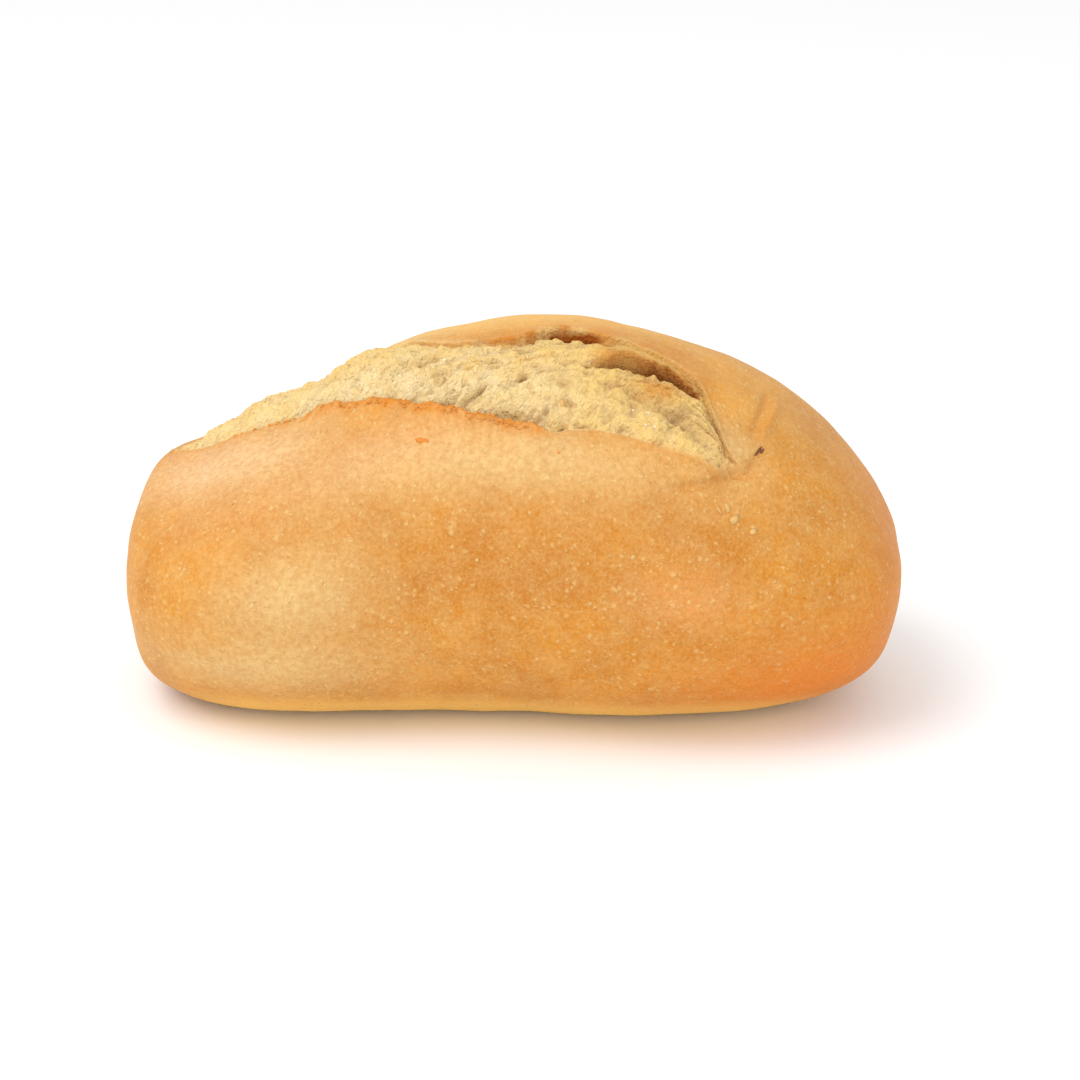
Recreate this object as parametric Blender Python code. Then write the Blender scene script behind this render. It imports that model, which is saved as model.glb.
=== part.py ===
"""A bolillo: a plump crusty roll with one long score that has torn open along its top.

The roll lies along X and rests on its flat base at Z = 0, with its front at -Y. It is one solid.
A sphere is moved on to the bare form of the loaf, and the open score is worked into it: the raised lips,
the torn crumb between them, two hooded gaps near the back lip, a pit, and a fold in the skin at the right.
Places on the loaf are given as a distance along X and an angle round it, from 0 at the front over 90 at
the top to 180 at the back.
"""

import math

import bmesh
import bpy
from mathutils import Matrix, Vector, noise

MM = 0.001

# Bare loaf form. The waist is the height at which the roll is widest.
LENGTH = 128 * MM
FRONT_WIDTH = 35.5 * MM
FRONT_TAPER = -0.03
BACK_WIDTH = 35 * MM
BACK_FOLLOWS_FRONT = 0.3
CROWN = 38.1 * MM
CROWN_LEAN = 0.15
WAIST_LEFT = 21.1 * MM
WAIST_RIGHT = 24.4 * MM
WAIST_SWELL = 1.7 * MM
BASE_SINK = 2.7 * MM
BASE_EDGE_ROUNDING = 2 * MM

# Roundness of the left and right end, as the exponent of a superellipse: 2 is an ellipse, more is blunter.
FRONT_ROUNDNESS = (3.6, 3.5)
BACK_ROUNDNESS = (2.9, 2.7)
CROWN_ROUNDNESS = (3.0, 1.65)
UNDERSIDE_ROUNDNESS = (6.0, 3.6)
# How much wider the section is below the waist, at the left and the right end.
LOWER_FULLNESS = (0.15, 0.0)

# Soft hollows and one swelling of the bare form: place along X, spread and depth.
SHOULDER_DROP = (-38 * MM, 17 * MM, 7.2 * MM)
LEFT_END_DROP = (-53.6 * MM, 7.5 * MM, 5.2 * MM)
FRONT_PINCH = (-10 * MM, 25 * MM, 3.5 * MM)
FRONT_BULGE = (-44 * MM, 15 * MM, -1.4 * MM)

# The two lips of the score, as places along X in mm and angles in degrees. They meet at both tips.
SCORE_TIPS = (-58.5, 38.5)
FRONT_LIP_LEFT = ((-59, 93), (-52, 83), (-43, 76), (-34, 73), (-25, 64), (-17, 57), (-8.5, 51))
FRONT_LIP_RIGHT = ((5, 45), (14, 47), (27, 44.5), (39, 42.5))
FRONT_LIP = FRONT_LIP_LEFT + FRONT_LIP_RIGHT
BACK_LIP_LEFT = ((-59, 95), (-50, 99), (-36, 102), (-20, 93), (-12, 82.5), (-5, 80), (1, 80), (5.5, 85))
BACK_LIP_RIGHT = ((14, 82.5), (20, 80), (27, 75), (30.5, 69), (33, 59), (35, 50), (39, 44))
BACK_LIP = BACK_LIP_LEFT + BACK_LIP_RIGHT
CRUMB_RISE = 1.0 * MM

# How far the crumb lies below each lip, in mm at places along X in mm.
FRONT_DROP = ((-59, 0.1), (-45, 0.7), (-31, 1.7), (-11, 2.5), (2.5, 2.9), (10, 1.3), (22, 0.8), (39, 0))
BACK_DROP = ((-59, 0.2), (-20, 0.5), (-9, 1), (0, 1.8), (5, 2.4), (13, 1.8), (20, 0.9), (33, 1.2), (39, 0))

# The front lip is torn up into an ear over part of its length; the back lip is lower.
EAR_REACH_X = (-30, 3.5)
EAR_RISE = 1.2 * MM
EAR_OVERHANG = 1.0 * MM
EAR_RAGGEDNESS = 0.7 * MM
EAR_TOOTH = 3.2 * MM
BACK_LIP_REACH_X = (-15, 34)
BACK_LIP_RISE = 0.6 * MM
BACK_LIP_OVERHANG = 0.4 * MM
LIP_SPREAD = 2.6 * MM
LIP_THICKNESS = 1.1 * MM
TROUGH_SPREAD = 4 * MM

# Gaps under a hood of dough: line as (mm along X, angle), depth of the gap and rise of the hood.
BACK_GAP = (((4, 83), (11, 80.5), (17, 76)), 3.2 * MM, 0.5 * MM)
INNER_GAP = (((11, 64.5), (17, 69), (23, 68.5), (27, 67), (31, 62.5)), 2.8 * MM, 1.6 * MM)
GAP_WIDTH = 1.4 * MM
HOOD_LENGTH = 3.4 * MM
HOOD_OVERHANG = 0.9 * MM

# Grooves and ridges: line, half width, and rise or, below zero, depth.
CRUMB_PIT = (((-12, 75), (-15.5, 70)), 1.3 * MM, -1.9 * MM)
CRUMB_HOLLOW = (((-2, 50), (5, 48)), 2.6 * MM, -1.2 * MM)
CRUMB_RIDGE = (((7, 58), (8.5, 53), (9.5, 48)), 1.5 * MM, 1.3 * MM)
CRUMB_FOLD = (((17.5, 60), (25, 56), (32, 50)), 1.6 * MM, -0.9 * MM)
CRUMB_ROLL = (((10.5, 55), (18, 54), (26, 50)), 2.0 * MM, 0.8 * MM)
SKIN_FOLD = (((42.5, 84), (41.5, 72), (40, 60)), 1.5 * MM, 0.9 * MM)
SKIN_CREASE = (((40, 53), (37.5, 44), (30.5, 37), (25, 33)), 1.5 * MM, -0.9 * MM)
STROKES = (CRUMB_PIT, CRUMB_HOLLOW, CRUMB_RIDGE, CRUMB_FOLD, CRUMB_ROLL, SKIN_FOLD, SKIN_CREASE)

# Uneven dough: the spacing of the swellings and their height, in the skin and in the torn crumb.
SKIN_SWELLINGS = ((22 * MM, 0.6 * MM), (9 * MM, 0.25 * MM))
STRAND_LENGTH = 8 * MM
STRAND_WIDTH = 2.6 * MM
STRAND_HEIGHT = 0.9 * MM
STRAND_TURN = math.radians(38)
BUBBLE_SPACING = 3.6 * MM
BUBBLE_HEIGHT = 0.8 * MM
BUBBLE_REACH_X = (5, 30)

# Mesh: rings along the loaf and segments round it in seven bands. The open score is twice as fine.
RINGS = 70
BASE_SEGMENTS = 5
FRONT_SEGMENTS = 12
LIP_SEGMENTS = 2
SCORE_SEGMENTS = 14
BACK_SEGMENTS = 11
SEGMENTS = 2 * BASE_SEGMENTS + FRONT_SEGMENTS + 2 * LIP_SEGMENTS + SCORE_SEGMENTS + BACK_SEGMENTS
BASE_EDGE_ANGLE = 50
NARROWEST_BAND = 20
LIP_BAND = 6
FINE_REACH_X = (-56, 46)
FINE_MARGIN = 0.5
ACROSS_PER_DEGREE = 0.66 * MM

CRUST_COLOUR = (0.68, 0.36, 0.11, 1)
CRUST_ROUGHNESS = 0.55


def clear_scene():
    for item in list(bpy.data.objects):
        bpy.data.objects.remove(item)


def roundness(t, exponents):
    """Height of a superellipse over t, from 0 at either end to 1 at the middle."""
    exponent = exponents[0] if t < 0 else exponents[1]
    return max(0.0, 1 - abs(t) ** exponent) ** (1 / exponent)


def bump(x, hollow):
    place, spread, depth = hollow
    return depth * math.exp(-(((x - place) / spread) ** 2))


def smooth_step(value, start, end):
    t = min(1.0, max(0.0, (value - start) / (end - start)))
    return t * t * (3 - 2 * t)


def stretch(x, reach, fade=5 * MM):
    """1 between the two places along X of reach, fading to 0 outside them."""
    start, end = (place * MM for place in reach)
    return smooth_step(x, start - fade, start) * (1 - smooth_step(x, end, end + fade))


def curve_at(points, x):
    """Value at x of a smooth curve through points, which is level outside them."""
    place = min(max(x / MM, points[0][0]), points[-1][0])
    k = next(i for i in range(1, len(points)) if place <= points[i][0])
    (x0, v0), (x1, v1) = points[k - 1], points[k]
    before = points[max(k - 2, 0)]
    after = points[min(k + 1, len(points) - 1)]
    slope0 = (v1 - before[1]) / (x1 - before[0])
    slope1 = (after[1] - v0) / (after[0] - x0)
    span = x1 - x0
    t = (place - x0) / span
    return (
        v0 * (1 + 2 * t) * (1 - t) ** 2
        + slope0 * span * t * (1 - t) ** 2
        + v1 * t * t * (3 - 2 * t)
        + slope1 * span * t * t * (t - 1)
    )


def crown_height(x, t):
    crown = CROWN * (1 + CROWN_LEAN * t) - bump(x, SHOULDER_DROP) - bump(x, LEFT_END_DROP)
    return crown * roundness(t, CROWN_ROUNDNESS)


def front_width(x, t):
    return FRONT_WIDTH * (1 + FRONT_TAPER * t) - bump(x, FRONT_PINCH) - bump(x, FRONT_BULGE)


def back_width(x, t):
    """The back stands further out where the front is drawn in, as the loaf is a little bent."""
    return BACK_WIDTH + BACK_FOLLOWS_FRONT * (FRONT_WIDTH - front_width(x, t))


def bare_form(x, angle):
    """The point of the loaf without its score."""
    t = 2 * x / LENGTH
    waist = WAIST_LEFT + (WAIST_RIGHT - WAIST_LEFT) * (t + 1) / 2 + WAIST_SWELL * (1 - t * t)
    forward = math.cos(math.radians(angle))
    upward = math.sin(math.radians(angle))
    if upward > 0:
        height = crown_height(x, t)
    else:
        height = (waist + BASE_SINK) * roundness(t, UNDERSIDE_ROUNDNESS)
        fullness = LOWER_FULLNESS[0] + (LOWER_FULLNESS[1] - LOWER_FULLNESS[0]) * (t + 1) / 2
        forward *= 1 + fullness * upward**2
    if forward > 0:
        y = -front_width(x, t) * roundness(t, FRONT_ROUNDNESS) * forward
    else:
        y = -back_width(x, t) * roundness(t, BACK_ROUNDNESS) * forward
    return Vector((x, y, waist + height * upward))


def distance_to_line(x, angle, line):
    """Distance over the skin from a line, positive towards the back, and the share passed along it."""
    place = Vector((x, angle * ACROSS_PER_DEGREE))
    points = [Vector((px * MM, pa * ACROSS_PER_DEGREE)) for px, pa in line]
    best = None
    for k in range(len(points) - 1):
        side = points[k + 1] - points[k]
        share = min(1.0, max(0.0, (place - points[k]).dot(side) / side.length_squared))
        gap = place - points[k] - share * side
        if best is None or gap.length < abs(best[0]):
            sign = 1 if side.x * gap.y - side.y * gap.x > 0 else -1
            best = (sign * gap.length, (k + share) / (len(points) - 1))
    return best


def stroke_relief(x, angle, stroke):
    line, half_width, rise = stroke
    distance, along = distance_to_line(x, angle, line)
    ends = smooth_step(along, -0.15, 0.2) * (1 - smooth_step(along, 0.8, 1.15))
    return rise * ends * math.exp(-((distance / half_width) ** 2))


def gap_relief(x, angle, gap):
    """Rise and reach of a gap and the hood of dough that hangs over it from the back."""
    line, depth, hood = gap
    distance, along = distance_to_line(x, angle, line)
    ends = smooth_step(along, 0, 0.25) * (1 - smooth_step(along, 0.75, 1))
    hooded = smooth_step(distance, 0.2 * GAP_WIDTH, GAP_WIDTH)
    cave = math.exp(-((distance / GAP_WIDTH) ** 2)) * (1 - hooded)
    cover = math.exp(-max(0.0, distance) / HOOD_LENGTH) * hooded
    return ends * (hood * cover - depth * cave), ends * HOOD_OVERHANG * (cave - cover)


def score_edges(x):
    """Angles of the front and the back lip."""
    wander = EAR_RAGGEDNESS * noise.noise((x / EAR_TOOTH, 7.3, 0)) / ACROSS_PER_DEGREE
    return curve_at(FRONT_LIP, x) + stretch(x, EAR_REACH_X) * wander, curve_at(BACK_LIP, x)


def score_band(x):
    """The lips' angles, spread apart where the score is narrower than its band of the mesh."""
    front, back = score_edges(x)
    spread = max(0.0, NARROWEST_BAND - (back - front)) / 2
    return front - spread, back + spread


def crags(x, angle):
    """Torn crumb: strands that slant in the front of the score and lie along its back, and bubbles."""
    front, back = score_edges(x)
    share = (angle - front) / max(back - front, 1)
    turn = STRAND_TURN * (1 - smooth_step(share, 0.35, 0.75))
    across = angle * ACROSS_PER_DEGREE
    along_strand = x * math.cos(turn) + across * math.sin(turn)
    over_strand = across * math.cos(turn) - x * math.sin(turn)
    strand = noise.noise((along_strand / STRAND_LENGTH, over_strand / STRAND_WIDTH, 0.5))
    nearest = noise.voronoi((x / BUBBLE_SPACING, across / BUBBLE_SPACING, 0.5))[0][0]
    bubble = stretch(x, BUBBLE_REACH_X) * (0.5 - nearest)
    return STRAND_HEIGHT * strand + BUBBLE_HEIGHT * bubble


def lip_relief(inside, drop, raised, overhang):
    """Rise and reach over the score that a lip gives a place, from its distance inside the lip."""
    if inside <= 0:
        return raised * math.exp(inside / LIP_SPREAD), overhang * math.exp(2 * inside / LIP_SPREAD)
    fallen = smooth_step(inside, 0, LIP_THICKNESS)
    trough = fallen * math.exp(-max(0.0, inside - LIP_THICKNESS) / TROUGH_SPREAD)
    return raised * (1 - fallen) - drop * trough, overhang * (1 - fallen - trough / 2)


def score_relief(x, angle):
    """Rise along the skin's normal and reach towards the back that the open score gives a place."""
    left, right = (tip * MM for tip in SCORE_TIPS)
    if not left < x < right:
        return 0.0, 0.0
    front, back = score_edges(x)
    from_front = (angle - front) * ACROSS_PER_DEGREE
    from_back = (back - angle) * ACROSS_PER_DEGREE
    ear = stretch(x, EAR_REACH_X)
    lip = stretch(x, BACK_LIP_REACH_X)
    front_drop = curve_at(FRONT_DROP, x) * MM
    back_drop = curve_at(BACK_DROP, x) * MM
    rise, reach = lip_relief(from_front, front_drop, ear * EAR_RISE, ear * EAR_OVERHANG)
    back_rise, back_reach = lip_relief(from_back, back_drop, lip * BACK_LIP_RISE, lip * BACK_LIP_OVERHANG)
    rise += back_rise
    reach -= back_reach
    if from_front > 0 and from_back > 0:
        share = from_front / (from_front + from_back)
        opened = smooth_step(back - front, 4, 20)
        rise += opened * math.sin(math.pi * share) * (CRUMB_RISE + crags(x, angle))
    return rise, reach


def loaf_point(x, angle):
    """The point of the finished loaf."""
    place = bare_form(x, angle)
    step_x = 0.1 * MM
    step_angle = 0.2
    inward = -1 if x > 0 else 1
    along = (bare_form(x + inward * step_x, angle) - place) * inward
    round_it = bare_form(x, angle + step_angle) - place
    if round_it.length < 0.001 * MM:
        return place
    round_it.normalize()
    outward = along.cross(round_it).normalized()
    rise, reach = score_relief(x, angle)
    for stroke in STROKES:
        rise += stroke_relief(x, angle, stroke)
    for gap in (BACK_GAP, INNER_GAP):
        gap_rise, gap_reach = gap_relief(x, angle, gap)
        rise += gap_rise
        reach += gap_reach
    rise += sum(height * noise.noise(place / spacing) for spacing, height in SKIN_SWELLINGS)
    return place + outward * rise + round_it * reach


def rest_on_base(z):
    """Height above the table, flat where the form would pass below it, with a rounded edge."""
    if z <= -BASE_EDGE_ROUNDING:
        return 0.0
    if z >= BASE_EDGE_ROUNDING:
        return z
    return (z + BASE_EDGE_ROUNDING) ** 2 / (4 * BASE_EDGE_ROUNDING)


def ring_places():
    """Places along X of the rings, evenly spaced over the outline of the loaf as seen from above."""
    samples = 2000
    outline = []
    for k in range(samples + 1):
        x = -math.cos(math.pi * k / samples) * LENGTH / 2
        outline.append(Vector((x, FRONT_WIDTH * roundness(2 * x / LENGTH, FRONT_ROUNDNESS))))
    travelled = [0.0]
    for k in range(samples):
        travelled.append(travelled[-1] + (outline[k + 1] - outline[k]).length)
    places = []
    k = 0
    for ring in range(RINGS + 1):
        goal = travelled[-1] * ring / RINGS
        while k < samples and travelled[k] < goal:
            k += 1
        places.append(outline[k].x)
    return places


def segment_angle(segment, x):
    """Angle round the loaf of a segment's edge, counted from the middle of the base up the front."""
    front, back = score_band(x)
    bands = (
        (BASE_SEGMENTS, -90, -BASE_EDGE_ANGLE),
        (FRONT_SEGMENTS, -BASE_EDGE_ANGLE, front - LIP_BAND),
        (LIP_SEGMENTS, front - LIP_BAND, front),
        (SCORE_SEGMENTS, front, back),
        (LIP_SEGMENTS, back, back + LIP_BAND),
        (BACK_SEGMENTS, back + LIP_BAND, 180 + BASE_EDGE_ANGLE),
        (BASE_SEGMENTS, 180 + BASE_EDGE_ANGLE, 270),
    )
    for count, start, end in bands:
        if segment <= count:
            return start + (end - start) * segment / count
        segment -= count
    return end


def crust_material():
    crust = bpy.data.materials.new("baked_crust")
    crust.use_nodes = True
    shader = crust.node_tree.nodes["Principled BSDF"]
    shader.inputs["Base Color"].default_value = CRUST_COLOUR
    shader.inputs["Roughness"].default_value = CRUST_ROUGHNESS
    return crust


def centre_on_base(mesh):
    """Moves the loaf so that the box round it stands centred on the origin."""
    for axis in (0, 1):
        values = [v.co[axis] for v in mesh.verts]
        middle = (min(values) + max(values)) / 2
        for v in mesh.verts:
            v.co[axis] -= middle


def guide_segment(place):
    """Count of segments round the guide to one of its points, which may lie between two segments."""
    return math.atan2(-place.y, -place.z) % (2 * math.pi) / (2 * math.pi) * SEGMENTS


def in_score(place):
    """Whether a point of the guide lies in the open score or beside its lips."""
    start, end = (x * MM for x in FINE_REACH_X)
    first = BASE_SEGMENTS + FRONT_SEGMENTS
    last = first + 2 * LIP_SEGMENTS + SCORE_SEGMENTS
    inside = first - FINE_MARGIN < guide_segment(place) < last + FINE_MARGIN
    return inside and start < place.x < end


def make_guide():
    """A tube whose points carry their place along the loaf as X and their segment as the angle round X."""
    guide = bmesh.new()
    bmesh.ops.create_uvsphere(guide, u_segments=SEGMENTS, v_segments=RINGS, radius=1)
    poles_on_x = Matrix.Rotation(math.radians(-90), 3, "Y")
    bmesh.ops.rotate(guide, verts=guide.verts, cent=(0, 0, 0), matrix=poles_on_x)
    places = ring_places()
    for v in guide.verts:
        ring = round(math.acos(max(-1.0, min(1.0, -v.co.x))) / math.pi * RINGS)
        turn = round(guide_segment(v.co)) / SEGMENTS * 2 * math.pi
        v.co = (places[ring], -math.sin(turn), -math.cos(turn))
    fine = [edge for edge in guide.edges if all(in_score(v.co) for v in edge.verts)]
    bmesh.ops.subdivide_edges(guide, edges=fine, cuts=1, use_grid_fill=True)
    bmesh.ops.triangulate(guide, faces=[face for face in guide.faces if len(face.verts) > 4])
    return guide


def make_loaf():
    mesh = make_guide()
    for v in mesh.verts:
        x = v.co.x
        point = loaf_point(x, segment_angle(guide_segment(v.co), x))
        point.z = rest_on_base(point.z)
        v.co = point
    centre_on_base(mesh)
    bmesh.ops.triangulate(mesh, faces=mesh.faces)
    bmesh.ops.recalc_face_normals(mesh, faces=mesh.faces)
    data = bpy.data.meshes.new("bolillo")
    mesh.to_mesh(data)
    mesh.free()
    data.shade_smooth()
    data.materials.append(crust_material())
    return bpy.data.objects.new("bolillo", data)


def main():
    clear_scene()
    collection = bpy.data.collections.new("bolillo")
    bpy.context.scene.collection.children.link(collection)
    collection.objects.link(make_loaf())


main()
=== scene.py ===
"""The looks of a bolillo, a crusty bread roll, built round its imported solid.

The roll is one piece that stands for the solid. It is made again from the same form, on a mesh fine enough
for the torn crumb, the ragged ear and the blisters of the crust. Small loose bits lie on it.
Places on the roll are given as a distance along X and an angle round it, from 0 at the front over 90 at
the top to 180 at the back.
"""

import math
import random

import bmesh
import bpy
import numpy as np
from bpy.props import FloatProperty, FloatVectorProperty, PointerProperty
from mathutils import Matrix, Vector, noise


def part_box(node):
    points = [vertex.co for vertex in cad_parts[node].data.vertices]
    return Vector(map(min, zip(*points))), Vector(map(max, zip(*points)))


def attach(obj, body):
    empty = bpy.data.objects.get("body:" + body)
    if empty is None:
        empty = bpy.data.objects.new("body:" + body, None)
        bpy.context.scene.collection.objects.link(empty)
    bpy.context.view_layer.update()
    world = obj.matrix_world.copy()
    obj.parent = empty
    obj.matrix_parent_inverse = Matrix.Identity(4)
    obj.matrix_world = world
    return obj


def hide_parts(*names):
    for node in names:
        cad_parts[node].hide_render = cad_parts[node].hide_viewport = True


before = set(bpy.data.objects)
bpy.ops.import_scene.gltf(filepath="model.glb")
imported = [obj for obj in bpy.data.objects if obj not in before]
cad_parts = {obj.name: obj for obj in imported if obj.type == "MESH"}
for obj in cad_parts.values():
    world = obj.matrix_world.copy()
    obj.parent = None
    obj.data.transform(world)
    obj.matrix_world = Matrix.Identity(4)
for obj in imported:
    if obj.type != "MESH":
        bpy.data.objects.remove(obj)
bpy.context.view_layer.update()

bl_info = {
    "name": "Bolillo roll",
    "version": (1, 0, 0),
    "blender": (4, 5, 0),
    "location": "3D View > Sidebar > Bread",
    "description": "Makes a bolillo with its torn score, its crust and a plain stage",
    "category": "Add Mesh",
}

NODE = "bolillo"
MM = 0.001

# Bare form of the roll, as in the solid. The waist is the height at which the roll is widest.
LENGTH = 128 * MM
FRONT_WIDTH = 35.5 * MM
FRONT_TAPER = -0.03
BACK_WIDTH = 35 * MM
BACK_FOLLOWS_FRONT = 0.3
CROWN = 38.1 * MM
CROWN_LEAN = 0.15
WAIST_LEFT = 21.1 * MM
WAIST_RIGHT = 24.4 * MM
WAIST_SWELL = 1.7 * MM
BASE_SINK = 2.7 * MM
BASE_EDGE_ROUNDING = 2 * MM
FRONT_ROUNDNESS = (3.6, 3.5)
BACK_ROUNDNESS = (2.9, 2.7)
CROWN_ROUNDNESS = (3.0, 1.65)
UNDERSIDE_ROUNDNESS = (6.0, 3.6)
LOWER_FULLNESS = (0.15, 0.0)

# Places where the bare form is drawn in: place along X, spread and depth.
SHOULDER_DROP = (-38 * MM, 17 * MM, 7.2 * MM)
LEFT_END_DROP = (-53.6 * MM, 7.5 * MM, 5.2 * MM)
FRONT_PINCH = (-10 * MM, 25 * MM, 3.5 * MM)
FRONT_BULGE = (-44 * MM, 15 * MM, -1.4 * MM)

# The two lips of the score, as places along X in mm and angles in degrees. They meet at both tips.
SCORE_TIPS = (-58.5, 38.5)
FRONT_LIP_LEFT = ((-59, 93), (-52, 83), (-43, 76), (-34, 73), (-25, 64), (-17, 57), (-8.5, 51))
FRONT_LIP_RIGHT = ((5, 45), (14, 47), (27, 44.5), (39, 42.5))
FRONT_LIP = FRONT_LIP_LEFT + FRONT_LIP_RIGHT
BACK_LIP_LEFT = ((-59, 95), (-50, 99), (-36, 102), (-20, 93), (-12, 82.5), (-5, 80), (1, 80), (5.5, 85))
BACK_LIP_RIGHT = ((14, 82.5), (20, 80), (27, 75), (30.5, 69), (33, 59), (35, 50), (39, 44))
BACK_LIP = BACK_LIP_LEFT + BACK_LIP_RIGHT
CRUMB_RISE = 1.0 * MM

# How far the crumb lies below each lip, in mm at places along X in mm.
FRONT_DROP = ((-59, 0.1), (-45, 0.7), (-31, 1.7), (-11, 2.5), (2.5, 2.9), (10, 1.3), (22, 0.8), (39, 0))
BACK_DROP = ((-59, 0.2), (-20, 0.5), (-9, 1), (0, 1.8), (5, 2.4), (13, 1.8), (20, 0.9), (33, 1.2), (39, 0))

# The front lip is torn up into an ear over part of its length; the back lip is lower.
EAR_REACH_X = (-30, 3.5)
EAR_RISE = 1.2 * MM
EAR_OVERHANG = 1.0 * MM
BACK_LIP_REACH_X = (-15, 34)
BACK_LIP_RISE = 0.6 * MM
BACK_LIP_OVERHANG = 0.4 * MM
LIP_SPREAD = 2.6 * MM
LIP_THICKNESS = 0.8 * MM
TROUGH_SPREAD = 4 * MM

# Waves of ragged lines: length along X, height, and the line of the noise that they read. Only the longest
# wave of the ear is in the solid. The ear's unevenness is a share of its height.
EAR_TEETH = ((3.2 * MM, 0.7 * MM, 7.3), (1.25 * MM, 0.5 * MM, 3.1), (0.6 * MM, 0.3 * MM, 1.9))
EAR_UNEVENNESS = ((2.4 * MM, 0.35, 8.8),)
BACK_LIP_TEETH = ((1.9 * MM, 0.3 * MM, 12.4),)
GAP_TEETH = ((1.3 * MM, 0.32 * MM, 5.1), (0.5 * MM, 0.14 * MM, 2.7))
BROWNED_BAND = 0.8 * MM
BROWNED_BAND_WAVES = ((2.6 * MM, 0.6 * MM, 17.5),)

# Gaps under a hood of dough: line as (mm along X, angle), depth of the gap and rise of the hood. Both fade
# out at the ends of the line, over a share of its length.
BACK_GAP = (((4, 83), (11, 80.5), (17, 76)), 3.2 * MM, 0.5 * MM)
INNER_GAP = (((11, 64.5), (17, 69), (23, 68.5), (27, 67), (31, 62.5)), 2.8 * MM, 1.6 * MM)
GAPS = (BACK_GAP, INNER_GAP)
GAP_WIDTH = 1.4 * MM
GAP_FADE = (0, 0.25)
HOOD_LENGTH = 3.4 * MM
HOOD_OVERHANG = 0.9 * MM

# Grooves and ridges: line, half width, and rise or, below zero, depth. They fade out at both ends of the
# line, over a share of its length.
STROKES = {
    "pit": (((-12, 75), (-15.5, 70)), 1.3 * MM, -1.9 * MM),
    "hollow": (((-2, 50), (5, 48)), 2.6 * MM, -1.2 * MM),
    "ridge": (((7, 58), (8.5, 53), (9.5, 48)), 1.5 * MM, 1.3 * MM),
    "fold": (((17.5, 60), (25, 56), (32, 50)), 1.6 * MM, -0.9 * MM),
    "roll": (((10.5, 55), (18, 54), (26, 50)), 2.0 * MM, 0.8 * MM),
    "skin_fold": (((42.8, 82), (41.8, 71), (40, 60)), 0.85 * MM, 0.75 * MM),
    "skin_crease": (((40.5, 54), (38, 45), (31.5, 38), (24, 33)), 0.9 * MM, -0.9 * MM),
    "skin_groove": (((41.3, 84), (40.3, 71), (38.8, 58)), 0.7 * MM, -0.6 * MM),
}
STROKE_FADE = (-0.15, 0.2)

# Uneven dough: the spacing of the swellings and their height. The last pair is finer than in the solid.
SKIN_SWELLINGS = ((22 * MM, 0.6 * MM), (9 * MM, 0.25 * MM), (3.4 * MM, 0.07 * MM))
STRAND_LENGTH = 8 * MM
STRAND_WIDTH = 2.6 * MM
STRAND_HEIGHT = 0.9 * MM
STRAND_TURN = math.radians(38)
BUBBLE_SPACING = 3.6 * MM
BUBBLE_HEIGHT = 0.8 * MM
BUBBLE_REACH_X = (5, 30)

# Mesh: rings along the roll and segments round it in seven bands. The open score is four times as fine.
RINGS = 200
BASE_SEGMENTS = 10
FRONT_SEGMENTS = 34
LIP_SEGMENTS = 5
SCORE_SEGMENTS = 24
BACK_SEGMENTS = 32
SEGMENTS = 2 * BASE_SEGMENTS + FRONT_SEGMENTS + 2 * LIP_SEGMENTS + SCORE_SEGMENTS + BACK_SEGMENTS
BASE_EDGE_ANGLE = 50
NARROWEST_BAND = 20
LIP_BAND = 6
FINE_REACH_X = (-56, 46)
FINE_MARGIN = 0.5
FOLD_REACH_X = (24, 45)
FOLD_MARGINS = (5.5, 9.5)
FINE_CUTS = 3
OUTLINE_SAMPLES = 8001

# Skin that one degree round the roll takes up, the steps over which its slope is measured, and the size
# under which a step round the roll counts as none.
ACROSS_PER_DEGREE = 0.66 * MM
SLOPE_STEP_X = 0.1 * MM
SLOPE_STEP_ANGLE = 0.2
POINTLIKE = 0.001 * MM

# Finer torn crumb than the solid's: slanting fibres at the front of the score, level wrinkles at its back.
# Fibres and wrinkles have their length, width and height, lumps and grains their size and height.
FIBRE_TURN = math.radians(45)
FIBRES = ((5.5 * MM, 1.6 * MM, 0.75 * MM), (2.8 * MM, 0.8 * MM, 0.5 * MM))
WRINKLES = ((7 * MM, 1.5 * MM, 0.4 * MM), (3 * MM, 0.8 * MM, 0.3 * MM))
LUMPS = ((2.3 * MM, 0.9 * MM), (1.1 * MM, 0.55 * MM))
GRAINS = ((1.5 * MM, 0.4 * MM), (0.7 * MM, 0.28 * MM))
CREST_SHARPNESS = 2.4

# How far the strands sway along X and over the skin, and over what distance.
SWAY_X = (6 * MM, 1.3 * MM)
SWAY_ACROSS = (5 * MM, 0.9 * MM)

# Scattered open bubbles of the crumb: spacing, depth and radius as a share of the spacing.
HOLES = ((2.6 * MM, 0.8 * MM, 0.4), (1.3 * MM, 0.5 * MM, 0.42))

# The smoother block of crumb, and the stretches with little fibre right and left of the middle.
BLOCK_REACH_X = (4, 20)
CALM_RIGHT = (12 * MM, 26 * MM)
CALM_LEFT = (24 * MM, 38 * MM)

# Lumps of the torn edges: size along X, size over the skin and height. Each kind lies along its own reach.
# Edge lumps and front knobs lie in a band in front of the front lip: its distance from the lip and spread.
EDGE_LUMPS = (1.9 * MM, 0.8 * MM, 0.24 * MM)
EDGE_LUMPS_REACH_X = (-54, 3)
EDGE_LUMPS_BAND = (0.8 * MM, 1.1 * MM)
FRONT_KNOBS = (3 * MM, 2 * MM, 0.5 * MM)
FRONT_KNOBS_REACH_X = (-54, -30)
FRONT_KNOBS_BAND = (2 * MM, 2.2 * MM)
BACK_KNOBS = (4.6 * MM, 5 * MM, 0.9 * MM)
BACK_KNOBS_REACH_X = (-56, -24)
BACK_KNOBS_START = (1 * MM, 4 * MM)
BACK_KNOBS_SPREAD = 2.6 * MM

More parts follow.
